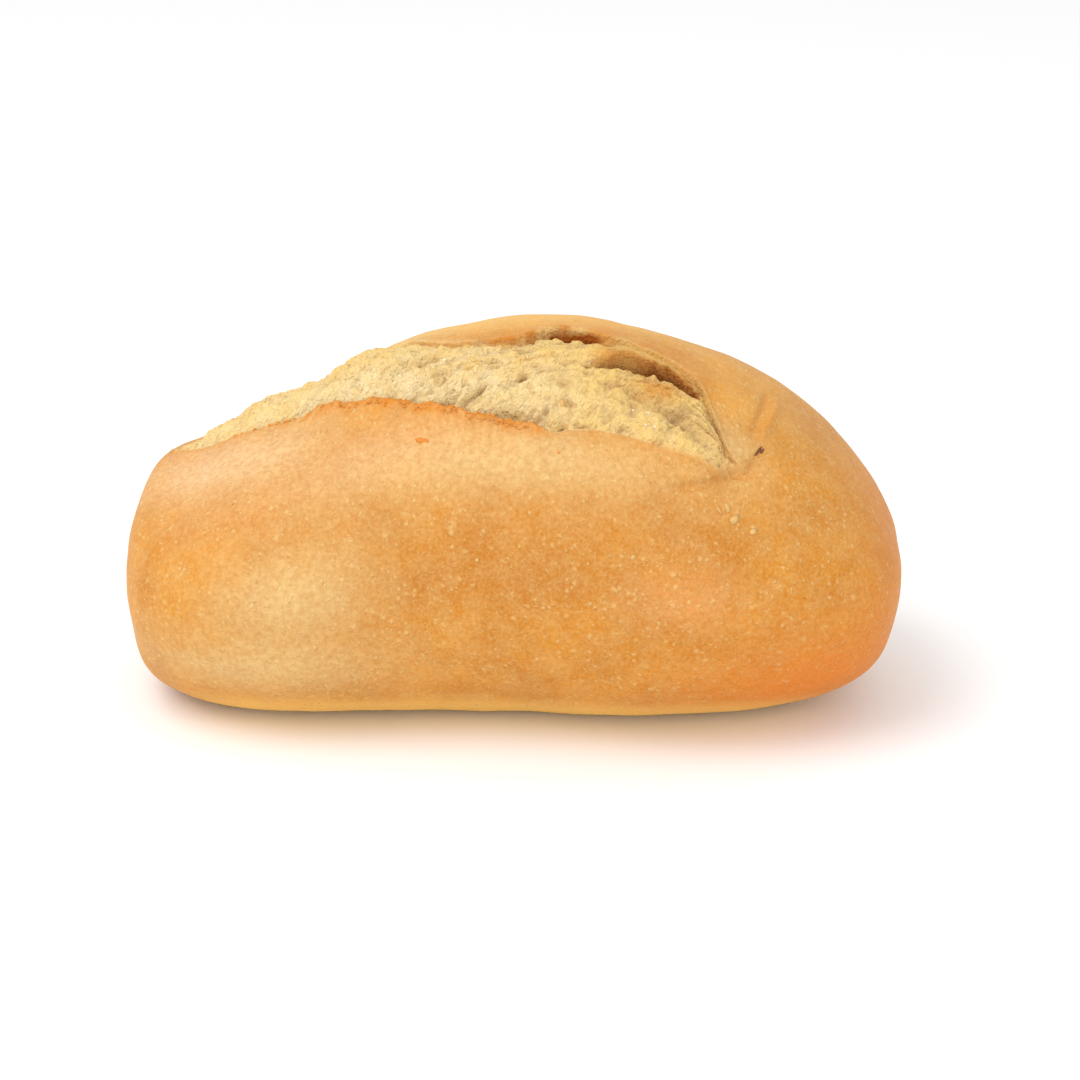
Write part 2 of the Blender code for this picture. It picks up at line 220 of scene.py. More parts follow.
# Where crumb turns to crust: the size and reach of the ragged edge, its width, and how much wider it is
# towards both tips and along the back. Distances to the left are counted from the middle.
CRUMB_EDGE_RAGGEDNESS = (2 * MM, 0.5 * MM)
FRONT_EDGE_WIDTH = 0.25 * MM
FRONT_EDGE_MORE_RIGHT = 1.6 * MM
FRONT_EDGE_RIGHT = (14 * MM, 26 * MM)
FRONT_EDGE_MORE_LEFT = 0.9 * MM
FRONT_EDGE_LEFT = (40 * MM, 50 * MM)
BACK_EDGE_WIDTH = 0.6 * MM
BACK_EDGE_MORE = 2.6 * MM
SHARP_BACK_REACH_X = (-4, 34)
SLIT_REACH_X = (6.4, 13.4)
SLIT_START = (0.15 * MM, 0.5 * MM)
SLIT_END = (1.9 * MM, 2.6 * MM)

# The level of the noise, or of the cells, that each kind of relief or tone reads.
LEVELS = {
    "strands": 0.5,
    "bubbles": 0.5,
    "fibres": 1.5,
    "lumps": 2.5,
    "sway_x": 3.3,
    "wrinkles": 4.5,
    "grains": 6.5,
    "holes": 8.5,
    "sway_across": 9.1,
    "crumb_edge": 11.5,
    "mottle": 13.5,
    "ear_layers": 19.5,
    "edge_lumps": 21.5,
    "front_knobs": 24.5,
    "back_knobs": 27.5,
    "hole_patches": 31.5,
}

# Small round pits of the crumb: place along X, angle, radius and depth.
PORES = (
    (12.2, 66, 0.55 * MM, 0.9 * MM),
    (14.5, 67.5, 0.45 * MM, 0.6 * MM),
    (31.5, 60, 0.6 * MM, 0.8 * MM),
    (32.6, 57, 0.5 * MM, 0.7 * MM),
    (2.5, 61, 0.6 * MM, 0.7 * MM),
    (-1, 59, 0.5 * MM, 0.5 * MM),
    (20, 52.5, 0.45 * MM, 0.5 * MM),
    (16.4, 51, 0.5 * MM, 0.5 * MM),
    (-14, 64, 0.35 * MM, 0.5 * MM),
)
# The depth at which a pit's painted shade is full.
PIT_DEPTH_OF_FULL_SHADE = 0.8 * MM

# Patches of tone on the crust: strength, middle along X and angle, and spread in mm and in degrees.
PALE_PATCHES = (
    (0.75, -33, 9, 12, 15),
    (0.7, 2, 38, 28, 9),
    (0.7, -38, -20, 20, 14),
    (0.5, -40, 60, 14, 13),
    # This patch lightens the crust under the painted sheen near the left end, as part of that painted
    # highlight.
    (0.7, -18, 98, 16, 10),
    (0.55, 36, 52, 4.5, 9),
)
BLUSH_PATCHES = ((0.8, 29, 6, 9, 9), (0.4, -46, 40, 14, 14))
# Painted sheen: lighter patches near the left end, standing in for the soft highlight of the light from
# the upper left.
PAINTED_SHEEN_PATCHES = ((0.5, -54, 74, 8, 15), (0.55, -44, 62, 13, 11), (0.3, -20, 45, 18, 9))
# Painted light: lighter patches on the rim of the top and on the crust right of the score.
PAINTED_LIGHT_PATCHES = ((0.5, 4, 97, 30, 11), (0.22, 39, 76, 9, 17))
WELL_DONE_PATCHES = (
    (0.9, 3, 14, 28, 15),
    (0.5, -36, 40, 15, 9),
    (0.5, 30, 102, 14, 14),
    (0.45, 21, 29, 12, 8),
)
BROWNED_PATCHES = ((0.8, 23, 62.5, 3.2, 3.4),)

# Ruddy places low at the right, where the crust is most baked and where painted shade darkens the side
# turned away from the key light: strength, middle and spread in mm.
RUDDY_SHADE_SPOTS = ((0.95, (51, -24, 9), (19, 17, 12)), (0.55, (63, -6, 26), (8, 20, 20)))

# The band of painted light, standing in for light thrown up by the floor, stands on the table and fades
# out upwards and towards the ends.
PAINTED_BOUNCE_TOP = (2 * MM, 9 * MM)
PAINTED_BOUNCE_ENDS = (-60 * MM, -40 * MM)

# Browned edges: the size of their mottle and of the ear's layers, and where they lie beside the ear.
MOTTLE_SIZE = (2.2 * MM, 0.9 * MM)
LAYER_SIZE = (5 * MM, 0.5 * MM)
BROWNED_LEFT_REACH_X = (-54, -34)
BROWNED_BACK_REACH_X = (-3.5, 8)
BROWNED_HOOD_REACH_X = (14, 31)

# Tones of the crumb: where it is fresh, where it grows more toasted to the right and to the left of the
# middle, and where the painted shade on the wall of a gap starts and is fullest.
FRESH_CRUMB_REACH_X = (-32, 9)
TOASTED_RIGHT = (-8 * MM, 20 * MM)
TOASTED_LEFT = (22 * MM, 34 * MM)
GAP_SHADE_STARTS = (12.5 * MM, 17 * MM)
GAP_SHADE_FULL = (18 * MM, 23 * MM)

# Loose bits, in mm and degrees. A cluster has its place, count and spread; a bit its place, size and turn.
GRAIN_CLUSTERS = (
    (-15, 70, 4, 0.9),
    (-11.5, 70.5, 4, 0.8),
    (-6, 63.5, 6, 1.1),
    (-4, 66, 3, 0.6),
    (3.5, 68, 5, 1.2),
    (13, 64.5, 5, 0.8),
    (22, 53, 4, 0.9),
    (9, 55, 3, 1.0),
    (24, 51, 3, 0.8),
)
GRAIN_SIZES = (0.22, 0.5)
TOASTED_FLECKS = (
    (-13.6, 45.3, (1.3, 0.9, 0.4), 20),
    (-12.8, 45.0, (1.2, 0.8, 0.35), 160),
    (-13.2, 44.6, (1.1, 0.6, 0.35), 60),
    (-12.2, 44.7, (0.6, 0.5, 0.3), 100),
    (8.5, 40.0, (0.5, 0.4, 0.3), 0),
)
CRUST_FLAKES = (
    (34.8, 32.3, (0.9, 2.4, 0.5), 8),
    (35.9, 29.4, (2.2, 1.5, 0.45), 30),
    (38.9, 27.0, (1.7, 1.0, 0.4), 10),
    (33.6, 31.0, (0.6, 1.7, 0.35), 25),
    (20.5, 16.0, (1.0, 0.8, 0.25), 40),
    (-3.8, 13.5, (0.9, 0.7, 0.25), 0),
    (8.8, 52.4, (1.2, 1.9, 0.7), 10),
    (7.6, 48.6, (1.0, 0.7, 0.6), 40),
    (9.6, 47.6, (1.1, 0.6, 0.5), 120),
)
CHARRED_FLECK = (
    (39.7, 53.9, (2.3, 0.6, 0.45), 28),
    (40.3, 54.7, (1.2, 0.6, 0.4), 40),
)

# Browned bits along the front lip: some lumps left of the ear, and many small tatters on the ear's edge.
BORDER_LUMPS = (
    (-45.4, 76.6, (1.7, 0.8, 0.7), 15),
    (-44.3, 75.9, (1.1, 0.6, 0.6), 160),
    (-42.0, 75.4, (0.8, 0.5, 0.5), 20),
    (-39.1, 74.9, (1.5, 0.8, 0.7), 5),
    (-38.0, 74.3, (1.2, 0.7, 0.7), 170),
    (-36.5, 74.2, (2.0, 0.9, 0.7), 12),
    (-35.2, 73.8, (0.9, 0.6, 0.6), 150),
)
TATTER_COUNT = 170
TATTER_SIZES = ((0.25, 1.0), (0.2, 0.4), (0.2, 0.65))
TATTER_OFFSETS = (-1.1, 0.2)
TATTER_TURNS = (-40, 40)

# How much the corners of a bit are moved in or out, how much of its height it stands clear, and the steps
# in mm and degrees over which the skin under it is measured.
BIT_UNEVENNESS = (0.7, 1.25)
BIT_LIFT = 0.05
BIT_STEP_X = 0.4
BIT_STEP_ANGLE = 0.6

# Tones of the two colour groups, and the marks on the mesh that say where tones lie.
CRUST_TONES = (
    "golden", "toasted", "ruddy_with_painted_shade", "pale", "blush", "painted_sheen", "bright", "browned", "blister", "speck"
)
CRUMB_TONES = ("cream", "yellow", "tan", "shade", "gap", "slit")
CRUST_ZONES = ("browned", "pale", "blush", "painted_sheen", "ruddy_with_painted_shade", "bright")
CRUMB_ZONES = ("crumb", "toasted", "painted_hollow_shade", "dried", "gap", "slit")
ZONES = CRUST_ZONES + CRUMB_ZONES

# A Mix node repeats the names of its sockets, so they are told apart by number.
MIX_FACTOR = 0
MIX_NUMBERS = (2, 3)
MIX_COLOURS = (6, 7)
MIXED_COLOUR = 2

# The stage, in metres and degrees. The lamps face a point inside the roll.
FLOOR_HALF_SIZE = 3
FLOOR_CLEARANCE = 0.1 * MM
KEY_PLACE = (-0.35, -0.25, 0.65)
KEY_SIZE = 0.5
FILL_PLACE = (0.1, -0.75, 0.12)
FILL_SIZE = 0.6
LAMP_AIM = (0, 0, 0.03)
CAMERA_TURN = 4
CAMERA_CLIMB = 20
CAMERA_AIM = (0, 0, 28 * MM)
CAMERA_DISTANCE = 0.43
CAMERA_LENS = 85.35
CAMERA_SHIFT = (0.0231, -0.0171)


def from_hex(code):
    """The linear colour of an sRGB hex code."""
    shares = [int(code[k : k + 2], 16) / 255 for k in (0, 2, 4)]
    return [s / 12.92 if s <= 0.04045 else ((s + 0.055) / 1.055) ** 2.4 for s in shares]


def colour(name, description, code):
    """A colour that the user can change, from its sRGB hex code."""
    return FloatVectorProperty(
        name=name, description=description, default=from_hex(code), subtype="COLOR", size=3, min=0, max=1
    )


def length(name, description, default):
    """A length that the user can change."""
    return FloatProperty(
        name=name, description=description, default=default, min=0, unit="LENGTH", subtype="DISTANCE"
    )


def power(name, description, default):
    """A lamp's power that the user can change."""
    return FloatProperty(name=name, description=description, default=default, min=0, unit="POWER")


class BOLILLO_PG_crust(bpy.types.PropertyGroup):
    """Colours and sizes of the baked crust"""

    golden: colour("Golden crust", "Main colour of the crust", "CE8621")
    toasted: colour("Toasted crust", "Darker patches of the crust", "B26A14")
    # This tone is the most baked crust, and also painted shade on the lower right, which is turned away
    # from the key light.
    ruddy_with_painted_shade: colour("Ruddy crust", "Most baked places low on the right", "D97718")
    pale: colour("Pale crust", "Least baked places", "DEC58C")
    # This tone is painted sheen: a soft highlight painted on the crust near the left end.
    painted_sheen: colour("Bloom", "Floury sheen near the left end", "F2CDA2")
    blush: colour("Blush", "Pinkish floury bloom", "E29E60")
    # This tone is painted light: light from the floor along the base and light on the rim of the top. The
    # sheen is tinted with it too.
    bright: colour("Bright gold", "Band along the base and rim of the top", "FFD070")
    browned: colour("Browned edge", "Torn edges that the oven has browned", "D07E1E")
    blister: colour("Blister", "Thin skin over the small blisters", "EFC983")
    speck: colour("Speck", "Tiny scorched specks", "84481A")
    blister_spacing: length("Blister spacing", "Distance between blisters of the middle size", 1.2 * MM)
    blister_height: length("Blister height", "Height of the blisters of the middle size", 0.14 * MM)


class BOLILLO_PG_crumb(bpy.types.PropertyGroup):
    """Colours and sizes of the torn crumb"""

    cream: colour("Cream", "Freshly torn crumb", "FBE8BC")
    yellow: colour("Yellow", "Crumb that the oven has dried", "F2CA76")
    tan: colour("Tan", "Crumb in folds and at the right of the score", "EEC674")
    # The shade tone is painted shade at the bottom of the crumb's hollows and pits.
    shade: colour("Shade", "Bottom of the small hollows", "CDAE7C")
    # This tone is dark brown painted shade. It lies on the inner wall of the gap under the hood and in the
    # crumb's toasted folds.
    gap: colour("Gap", "Inside of the deep gap under the hood", "A0551A")
    # This tone is dark brown painted shade inside the slit under the back lip.
    slit: colour("Slit", "Inside of the slit under the back lip", "A05009")
    grain_size: length("Grain size", "Size of the grain of the crumb", 0.45 * MM)
    fibre_height: length("Fibre height", "Height of the finest fibres", 0.2 * MM)


class BOLILLO_PG_bits(bpy.types.PropertyGroup):
    """Colours of the small loose bits"""

    grain: colour("Grain", "White grains of flour", "FAF0D8")
    charred: colour("Charred", "Charred fleck", "7A4420")
    edge: colour("Browned tatters", "Torn bits along the ear", "DA9038")
    orange: colour("Orange", "Toasted flecks of dough", "E08A26")
    flake: colour("Flake", "Thin flakes of crust", "D9AA62")


class BOLILLO_PG_stage(bpy.types.PropertyGroup):
    """Light of the stage"""

    key_power: power("Key power", "Power of the soft light at the upper left", 2.6)
    sky_strength: FloatProperty(
        name="Sky strength", description="Strength of the even white light all round", default=0.95, min=0
    )
    fill_power: power("Fill power", "Power of the low soft light in front", 1.5)
    floor_colour: colour("Floor", "Colour of the floor", "FAFAFA")


def noise_field(*coordinates):
    """Smooth noise from about -1 to 1 at each place."""
    axes = [axis.tolist() for axis in np.broadcast_arrays(*coordinates)]
    return np.array([noise.noise(place) for place in zip(*axes)])


def cell_field(*coordinates):
    """Distances to the nearest and the second nearest of evenly scattered points."""
    axes = [axis.tolist() for axis in np.broadcast_arrays(*coordinates)]
    return np.array([noise.voronoi(place)[0][:2] for place in zip(*axes)]).reshape(-1, 2).T


def skin_noise(x, angle, sizes, level):
    """Noise over the skin, with its size along the roll and round it, at one level of the noise."""
    return noise_field(x / sizes[0], angle * ACROSS_PER_DEGREE / sizes[1], level)


def ragged_course(x, waves):
    """How far a ragged line strays at each place along X."""
    return sum(height * noise_field(x / wave, line, 0) for wave, height, line in waves)


def roundness(t, exponents):
    """Height of a superellipse over t, from 0 at either end to 1 at the middle."""
    exponent = np.where(t < 0, exponents[0], exponents[1])
    return np.clip(1 - np.abs(t) ** exponent, 0, 1) ** (1 / exponent)


def bump(x, hollow):
    """How far a hollow draws the form in at each place along X."""
    place, spread, depth = hollow
    return depth * np.exp(-(((x - place) / spread) ** 2))


def smooth_step(value, start, end):
    """0 up to start, 1 from end on, and a smooth rise between them."""
    t = np.clip((value - start) / (end - start), 0, 1)
    return t * t * (3 - 2 * t)


def stretch(x, reach, fade=5 * MM):
    """1 between the two places along X of reach, fading to 0 outside them."""
    start, end = (place * MM for place in reach)
    return smooth_step(x, start - fade, start) * (1 - smooth_step(x, end, end + fade))


def faded_ends(passed, fade):
    """1 along a line, fading to 0 at both its ends, from the share of the line that is passed."""
    start, end = fade
    return smooth_step(passed, start, end) * (1 - smooth_step(passed, 1 - end, 1 - start))


def curve_at(points, x):
    """Value at x of a smooth curve through points, which is level outside them."""
    px, pv = np.array(points, float).T
    place = np.clip(x / MM, px[0], px[-1])
    k = np.clip(np.searchsorted(px, place), 1, len(px) - 1)
    before = np.maximum(k - 2, 0)
    after = np.minimum(k + 1, len(px) - 1)
    slope0 = (pv[k] - pv[before]) / (px[k] - px[before])
    slope1 = (pv[after] - pv[k - 1]) / (px[after] - px[k - 1])
    span = px[k] - px[k - 1]
    t = (place - px[k - 1]) / span
    return (
        pv[k - 1] * (1 + 2 * t) * (1 - t) ** 2
        + slope0 * span * t * (1 - t) ** 2
        + pv[k] * t * t * (3 - 2 * t)
        + slope1 * span * t * t * (t - 1)
    )


def crown_height(x, t):
    """Height of the top above the waist."""
    crown = CROWN * (1 + CROWN_LEAN * t) - bump(x, SHOULDER_DROP) - bump(x, LEFT_END_DROP)
    return crown * roundness(t, CROWN_ROUNDNESS)


def front_width(x, t):
    """How far the front stands out from the middle, before its ends are rounded."""
    return FRONT_WIDTH * (1 + FRONT_TAPER * t) - bump(x, FRONT_PINCH) - bump(x, FRONT_BULGE)


def back_width(x, t):
    """The back stands further out where the front is drawn in, as the roll is a little bent."""
    return BACK_WIDTH + BACK_FOLLOWS_FRONT * (FRONT_WIDTH - front_width(x, t))


def bare_form(x, angle):
    """The points of the roll without its score."""
    t = 2 * x / LENGTH
    waist = WAIST_LEFT + (WAIST_RIGHT - WAIST_LEFT) * (t + 1) / 2 + WAIST_SWELL * (1 - t * t)
    forward = np.cos(np.radians(angle))
    upward = np.sin(np.radians(angle))
    fullness = LOWER_FULLNESS[0] + (LOWER_FULLNESS[1] - LOWER_FULLNESS[0]) * (t + 1) / 2
    lower = (waist + BASE_SINK) * roundness(t, UNDERSIDE_ROUNDNESS)
    height = np.where(upward > 0, crown_height(x, t), lower)
    forward = np.where(upward > 0, forward, forward * (1 + fullness * upward**2))
    front = front_width(x, t) * roundness(t, FRONT_ROUNDNESS)
    back = back_width(x, t) * roundness(t, BACK_ROUNDNESS)
    y = -np.where(forward > 0, front, back) * forward
    return np.stack((x, y, waist + height * upward), axis=1)


def directions(x, angle, place):
    """The direction outwards and the one round the roll at each place, and whether it is an end."""
    inward = np.where(x > 0, -1, 1)[:, None]
    along = (bare_form(x + inward[:, 0] * SLOPE_STEP_X, angle) - place) * inward
    round_it = bare_form(x, angle + SLOPE_STEP_ANGLE) - place
    size = np.linalg.norm(round_it, axis=1, keepdims=True)
    at_end = size[:, 0] < POINTLIKE
    round_it = np.where(at_end[:, None], 0, round_it / np.maximum(size, 1e-9))
    outward = np.cross(along, round_it)
    outward /= np.maximum(np.linalg.norm(outward, axis=1, keepdims=True), 1e-12)
    return outward, round_it, at_end


def distance_to_line(x, angle, line):
    """Distance over the skin from a line, positive towards the back, and the share passed along it."""
    across = angle * ACROSS_PER_DEGREE
    points = [(px * MM, pa * ACROSS_PER_DEGREE) for px, pa in line]
    best = np.full(x.shape, np.inf)
    passed = np.zeros(x.shape)
    for k, ((x0, a0), (x1, a1)) in enumerate(zip(points, points[1:])):
        side_x, side_a = x1 - x0, a1 - a0
        share = ((x - x0) * side_x + (across - a0) * side_a) / (side_x**2 + side_a**2)
        share = np.clip(share, 0, 1)
        gap_x = x - x0 - share * side_x
        gap_a = across - a0 - share * side_a
        distance = np.hypot(gap_x, gap_a)
        nearer = distance < np.abs(best)
        sign = np.where(side_x * gap_a - side_a * gap_x > 0, 1, -1)
        best = np.where(nearer, sign * distance, best)
        passed = np.where(nearer, (k + share) / (len(points) - 1), passed)
    return best, passed


def stroke_shape(x, angle, stroke):
    """How much a groove or ridge holds at each place, from 0 to 1."""
    line, half_width, _ = stroke
    distance, passed = distance_to_line(x, angle, line)
    return faded_ends(passed, STROKE_FADE) * np.exp(-((distance / half_width) ** 2))


def gap_shape(x, angle, gap):
    """How much a gap, its hood and its inner wall hold at each place, from 0 to 1.

    The gap is deepest on its line. Its widths are shares of GAP_WIDTH, less in front of the line.
    """
    distance, passed = distance_to_line(x, angle, gap[0])
    distance = distance + ragged_course(x, GAP_TEETH)
    ends = faded_ends(passed, GAP_FADE)
    hooded = smooth_step(distance, 0.2 * GAP_WIDTH, GAP_WIDTH)
    reach = np.where(distance < 0, 0.7 * GAP_WIDTH, GAP_WIDTH)
    cave = np.exp(-((distance / reach) ** 2)) * (1 - hooded)
    cover = np.exp(-np.maximum(0, distance) / HOOD_LENGTH) * hooded
    wall = smooth_step(distance, -0.45 * GAP_WIDTH, 0.1 * GAP_WIDTH)
    wall = wall * (1 - smooth_step(distance, 0.75 * GAP_WIDTH, 1.05 * GAP_WIDTH))
    return ends * cave, ends * cover, smooth_step(ends, 0, 0.5) * wall


def score_edges(x):
    """Angles of the front and the back lip, with teeth finer than the solid's."""
    ear_teeth = stretch(x, EAR_REACH_X) * ragged_course(x, EAR_TEETH)
    back_teeth = stretch(x, BACK_LIP_REACH_X) * ragged_course(x, BACK_LIP_TEETH)
    front = curve_at(FRONT_LIP, x) + ear_teeth / ACROSS_PER_DEGREE
    back = curve_at(BACK_LIP, x) + back_teeth / ACROSS_PER_DEGREE
    return front, back


def score_band(x):
    """The lips' angles, spread apart where the score is narrower than its band of the mesh."""
    front, back = score_edges(x)
    spread = np.maximum(0, NARROWEST_BAND - (back - front)) / 2
    return front - spread, back + spread


def ridged(values):
    """Thin crests between rounded hollows, from smooth noise."""
    return 1 - CREST_SHARPNESS * np.abs(values)


def coarse_crags(x, angle, share):
    """The torn crumb as the solid has it: broad strands, and bubbles right of the middle."""
    turn = STRAND_TURN * (1 - smooth_step(share, 0.35, 0.75))
    across = angle * ACROSS_PER_DEGREE
    along_strand = x * np.cos(turn) + across * np.sin(turn)
    over_strand = across * np.cos(turn) - x * np.sin(turn)
    strand = noise_field(along_strand / STRAND_LENGTH, over_strand / STRAND_WIDTH, LEVELS["strands"])
    nearest = cell_field(x / BUBBLE_SPACING, across / BUBBLE_SPACING, LEVELS["bubbles"])[0]
    bubble = stretch(x, BUBBLE_REACH_X) * (0.5 - nearest)
    return STRAND_HEIGHT * strand + BUBBLE_HEIGHT * bubble


def strand_place(x, angle):
    """Places along and over the slanting strands, a little warped so that no strand runs straight."""
    across = angle * ACROSS_PER_DEGREE
    (size_x, sway_x), (size_across, sway_across) = SWAY_X, SWAY_ACROSS
    swayed_x = x + sway_x * skin_noise(x, angle, (size_x, size_x), LEVELS["sway_x"])
    sizes = (size_across, size_across)
    swayed_across = across + sway_across * skin_noise(x, angle, sizes, LEVELS["sway_across"])
    along = swayed_x * math.cos(FIBRE_TURN) + swayed_across * math.sin(FIBRE_TURN)
    over = swayed_across * math.cos(FIBRE_TURN) - swayed_x * math.sin(FIBRE_TURN)
    return along, over


def fine_crags(x, angle, share):
    """Finer relief of the torn crumb than the solid has. Share runs from the front lip to the back one."""
    across = angle * ACROSS_PER_DEGREE
    along, over = strand_place(x, angle)
    slanting = 1 - smooth_step(share, 0.4, 0.7)
    block = stretch(x, BLOCK_REACH_X, 4 * MM) * (1 - smooth_step(share, 0.45, 0.75))
    calm = (1 - 0.4 * smooth_step(x, *CALM_RIGHT)) * (1 - 0.6 * smooth_step(-x, *CALM_LEFT))
    fibres = sum(
        height * ridged(noise_field(along / long, over / wide, LEVELS["fibres"]))
        for long, wide, height in FIBRES
    )
    wrinkles = sum(
        height * ridged(noise_field(x / long, across / wide, LEVELS["wrinkles"]))
        for long, wide, height in WRINKLES
    )
    lumps = sum(
        height * (0.55 - cell_field(x / size, across / size, LEVELS["lumps"])[0]) for size, height in LUMPS
    )
    grains = sum(
        height * noise_field(x / size, across / size, LEVELS["grains"]) for size, height in GRAINS
    )
    torn = slanting * fibres + (1 - slanting) * wrinkles
    relief = calm * (1 - 0.75 * block) * torn + block * lumps + grains
    for spacing, depth, radius in HOLES:
        patchy = skin_noise(x, angle, (3.1 * spacing, 2.2 * spacing), LEVELS["hole_patches"])
        nearest = cell_field(along / (1.5 * spacing), over / spacing, LEVELS["holes"])[0]
        hole = np.sqrt(np.clip(1 - (nearest / radius) ** 2, 0, 1))
        relief -= depth * calm * smooth_step(patchy, -0.05, 0.15) * hole
    return relief


def pores(x, angle):
    """Depth of the small round pits."""
    depth = np.zeros(x.shape)
    for place, pore_angle, radius, deep in PORES:
        distance = np.hypot(x - place * MM, (angle - pore_angle) * ACROSS_PER_DEGREE)
        depth += deep * np.exp(-((distance / radius) ** 2))
    return depth


def lip_relief(inside, drop, raised, overhang):
    """Rise and reach over the score that a lip gives a place, from its distance inside the lip."""
    fallen = smooth_step(inside, 0, LIP_THICKNESS)
    trough = fallen * np.exp(-np.maximum(0, inside - LIP_THICKNESS) / TROUGH_SPREAD)
    outside = np.exp(np.minimum(0, inside) / LIP_SPREAD)
    rise = np.where(inside <= 0, raised * outside, raised * (1 - fallen) - drop * trough)
    reach = np.where(inside <= 0, overhang * outside**2, overhang * (1 - fallen - trough / 2))
    return rise, reach


def before_lip(from_front, band):
    """Share of a band in front of the front lip that a place holds, from 0 to 1."""
    distance, spread = band
    return np.exp(-np.abs(from_front + distance) / spread) * (from_front < 0)


def edge_lumps(x, angle, from_front, from_back):
    """Small lumps on the crust along the front lip, and knobs along both lips near the left end."""
    on_edge = stretch(x, EDGE_LUMPS_REACH_X) * before_lip(from_front, EDGE_LUMPS_BAND)
    on_front = stretch(x, FRONT_KNOBS_REACH_X) * before_lip(from_front, FRONT_KNOBS_BAND)
    on_back = stretch(x, BACK_KNOBS_REACH_X) * smooth_step(from_front, *BACK_KNOBS_START)
    on_back *= np.exp(np.minimum(0, from_back) / BACK_KNOBS_SPREAD)
    small = EDGE_LUMPS[2] * ridged(skin_noise(x, angle, EDGE_LUMPS[:2], LEVELS["edge_lumps"]))
    front = FRONT_KNOBS[2] * skin_noise(x, angle, FRONT_KNOBS[:2], LEVELS["front_knobs"])
    back = BACK_KNOBS[2] * skin_noise(x, angle, BACK_KNOBS[:2], LEVELS["back_knobs"])
    return on_edge * small + on_front * front + on_back * back


def crumb_share(x, from_front, from_back, ragged):
    """Where the torn crumb shows, from 0 to 1. Its edge is sharp at the ear and softer elsewhere."""
    left, right = (tip * MM for tip in SCORE_TIPS)
    front_softness = FRONT_EDGE_WIDTH + FRONT_EDGE_MORE_RIGHT * smooth_step(x, *FRONT_EDGE_RIGHT)
    front_softness += FRONT_EDGE_MORE_LEFT * smooth_step(-x, *FRONT_EDGE_LEFT)
    back_softness = BACK_EDGE_WIDTH + BACK_EDGE_MORE * (1 - stretch(x, SHARP_BACK_REACH_X, 6 * MM))
    open_front = smooth_step(from_front + 0.3 * ragged, -0.2 * front_softness, front_softness)
    open_back = smooth_step(from_back + ragged, -0.8 * back_softness, back_softness)
    tips = smooth_step(x, left, left + 4 * MM) * (1 - smooth_step(x, right - 9 * MM, right))
    return open_front * open_back * tips


def painted_slit_shade(x, from_back, ragged):
    """Where the inside of the slit under the back lip shows and is painted dark as shade, from 0 to 1."""
    before_end = 1 - smooth_step(from_back + 0.6 * ragged, *SLIT_END)
    return stretch(x, SLIT_REACH_X, 1.6 * MM) * smooth_step(from_back, *SLIT_START) * before_end


def loaf_surface(x, angle):
    """The points of the finished roll, and what its looks need to know of each."""
    place = bare_form(x, angle)
    outward, round_it, at_end = directions(x, angle, place)

    front, back = score_edges(x)
    from_front = (angle - front) * ACROSS_PER_DEGREE
    from_back = (back - angle) * ACROSS_PER_DEGREE
    left, right = (tip * MM for tip in SCORE_TIPS)
    in_reach = (x > left) & (x < right)
    ear = stretch(x, EAR_REACH_X) * (1 + ragged_course(x, EAR_UNEVENNESS))
    lip = stretch(x, BACK_LIP_REACH_X)
    rise, reach = lip_relief(from_front, curve_at(FRONT_DROP, x) * MM, ear * EAR_RISE, ear * EAR_OVERHANG)
    back_rise, back_reach = lip_relief(
        from_back, curve_at(BACK_DROP, x) * MM, lip * BACK_LIP_RISE, lip * BACK_LIP_OVERHANG
    )

    share = np.clip(from_front / np.maximum(from_front + from_back, 0.1 * MM), 0, 1)
    opened = smooth_step(back - front, 4, 20) * np.sin(math.pi * share)
    inside = (from_front > 0) & (from_back > 0) & in_reach
    near_edge = smooth_step(np.minimum(from_front, from_back), 0.1 * MM, 0.9 * MM)
    fine = np.zeros(x.shape)
    fine[inside] = fine_crags(x[inside], angle[inside], share[inside])
    coarse = np.zeros(x.shape)
    coarse[inside] = coarse_crags(x[inside], angle[inside], share[inside])
    rise = in_reach * (rise + back_rise)
    rise += inside * (opened * (CRUMB_RISE + coarse) + near_edge * fine)
    rise += in_reach * edge_lumps(x, angle, from_front, from_back)
    reach = in_reach * (reach - back_reach)

    strokes = {name: stroke_shape(x, angle, stroke) for name, stroke in STROKES.items()}
    rise += sum(strokes[name] * stroke[2] for name, stroke in STROKES.items())
    caves, covers, walls = zip(*(gap_shape(x, angle, gap) for gap in GAPS))
    for cave, cover, (_, depth, hood) in zip(caves, covers, GAPS):
        rise += hood * cover - depth * cave
        reach += HOOD_OVERHANG * (cave - cover)
    pits = pores(x, angle)
    rise -= pits
    for spacing, height in SKIN_SWELLINGS:
        rise += height * noise_field(*(place / spacing).T)
    rise[at_end] = 0
    reach[at_end] = 0
    points = place + outward * rise[:, None] + round_it * reach[:, None]

    size, raggedness = CRUMB_EDGE_RAGGEDNESS
    ragged = raggedness * skin_noise(x, angle, (size, size), LEVELS["crumb_edge"])
    along_strand, over_strand = strand_place(x, angle)
    marks = {
        "crumb": crumb_share(x, from_front, from_back, ragged),
        "slit": painted_slit_shade(x, from_back, ragged),
        "from_front": from_front,
        "from_back": from_back,
        "share": share,
        "ear": ear,
        "crags": (fine + 0.5 * coarse) / MM,
        "wall": np.maximum(*walls),
        "hood": np.maximum(*covers),
        "pits": pits / PIT_DEPTH_OF_FULL_SHADE + strokes["pit"],
        "hollow": strokes["hollow"],
        "ridge": strokes["ridge"],
        "fold": strokes["fold"],
        "skin_fold": strokes["skin_fold"],
        "crease_shade": strokes["skin_crease"] + strokes["skin_groove"],
        "strand": np.stack((along_strand, over_strand, np.zeros(x.shape)), axis=1),
    }
    return points, marks


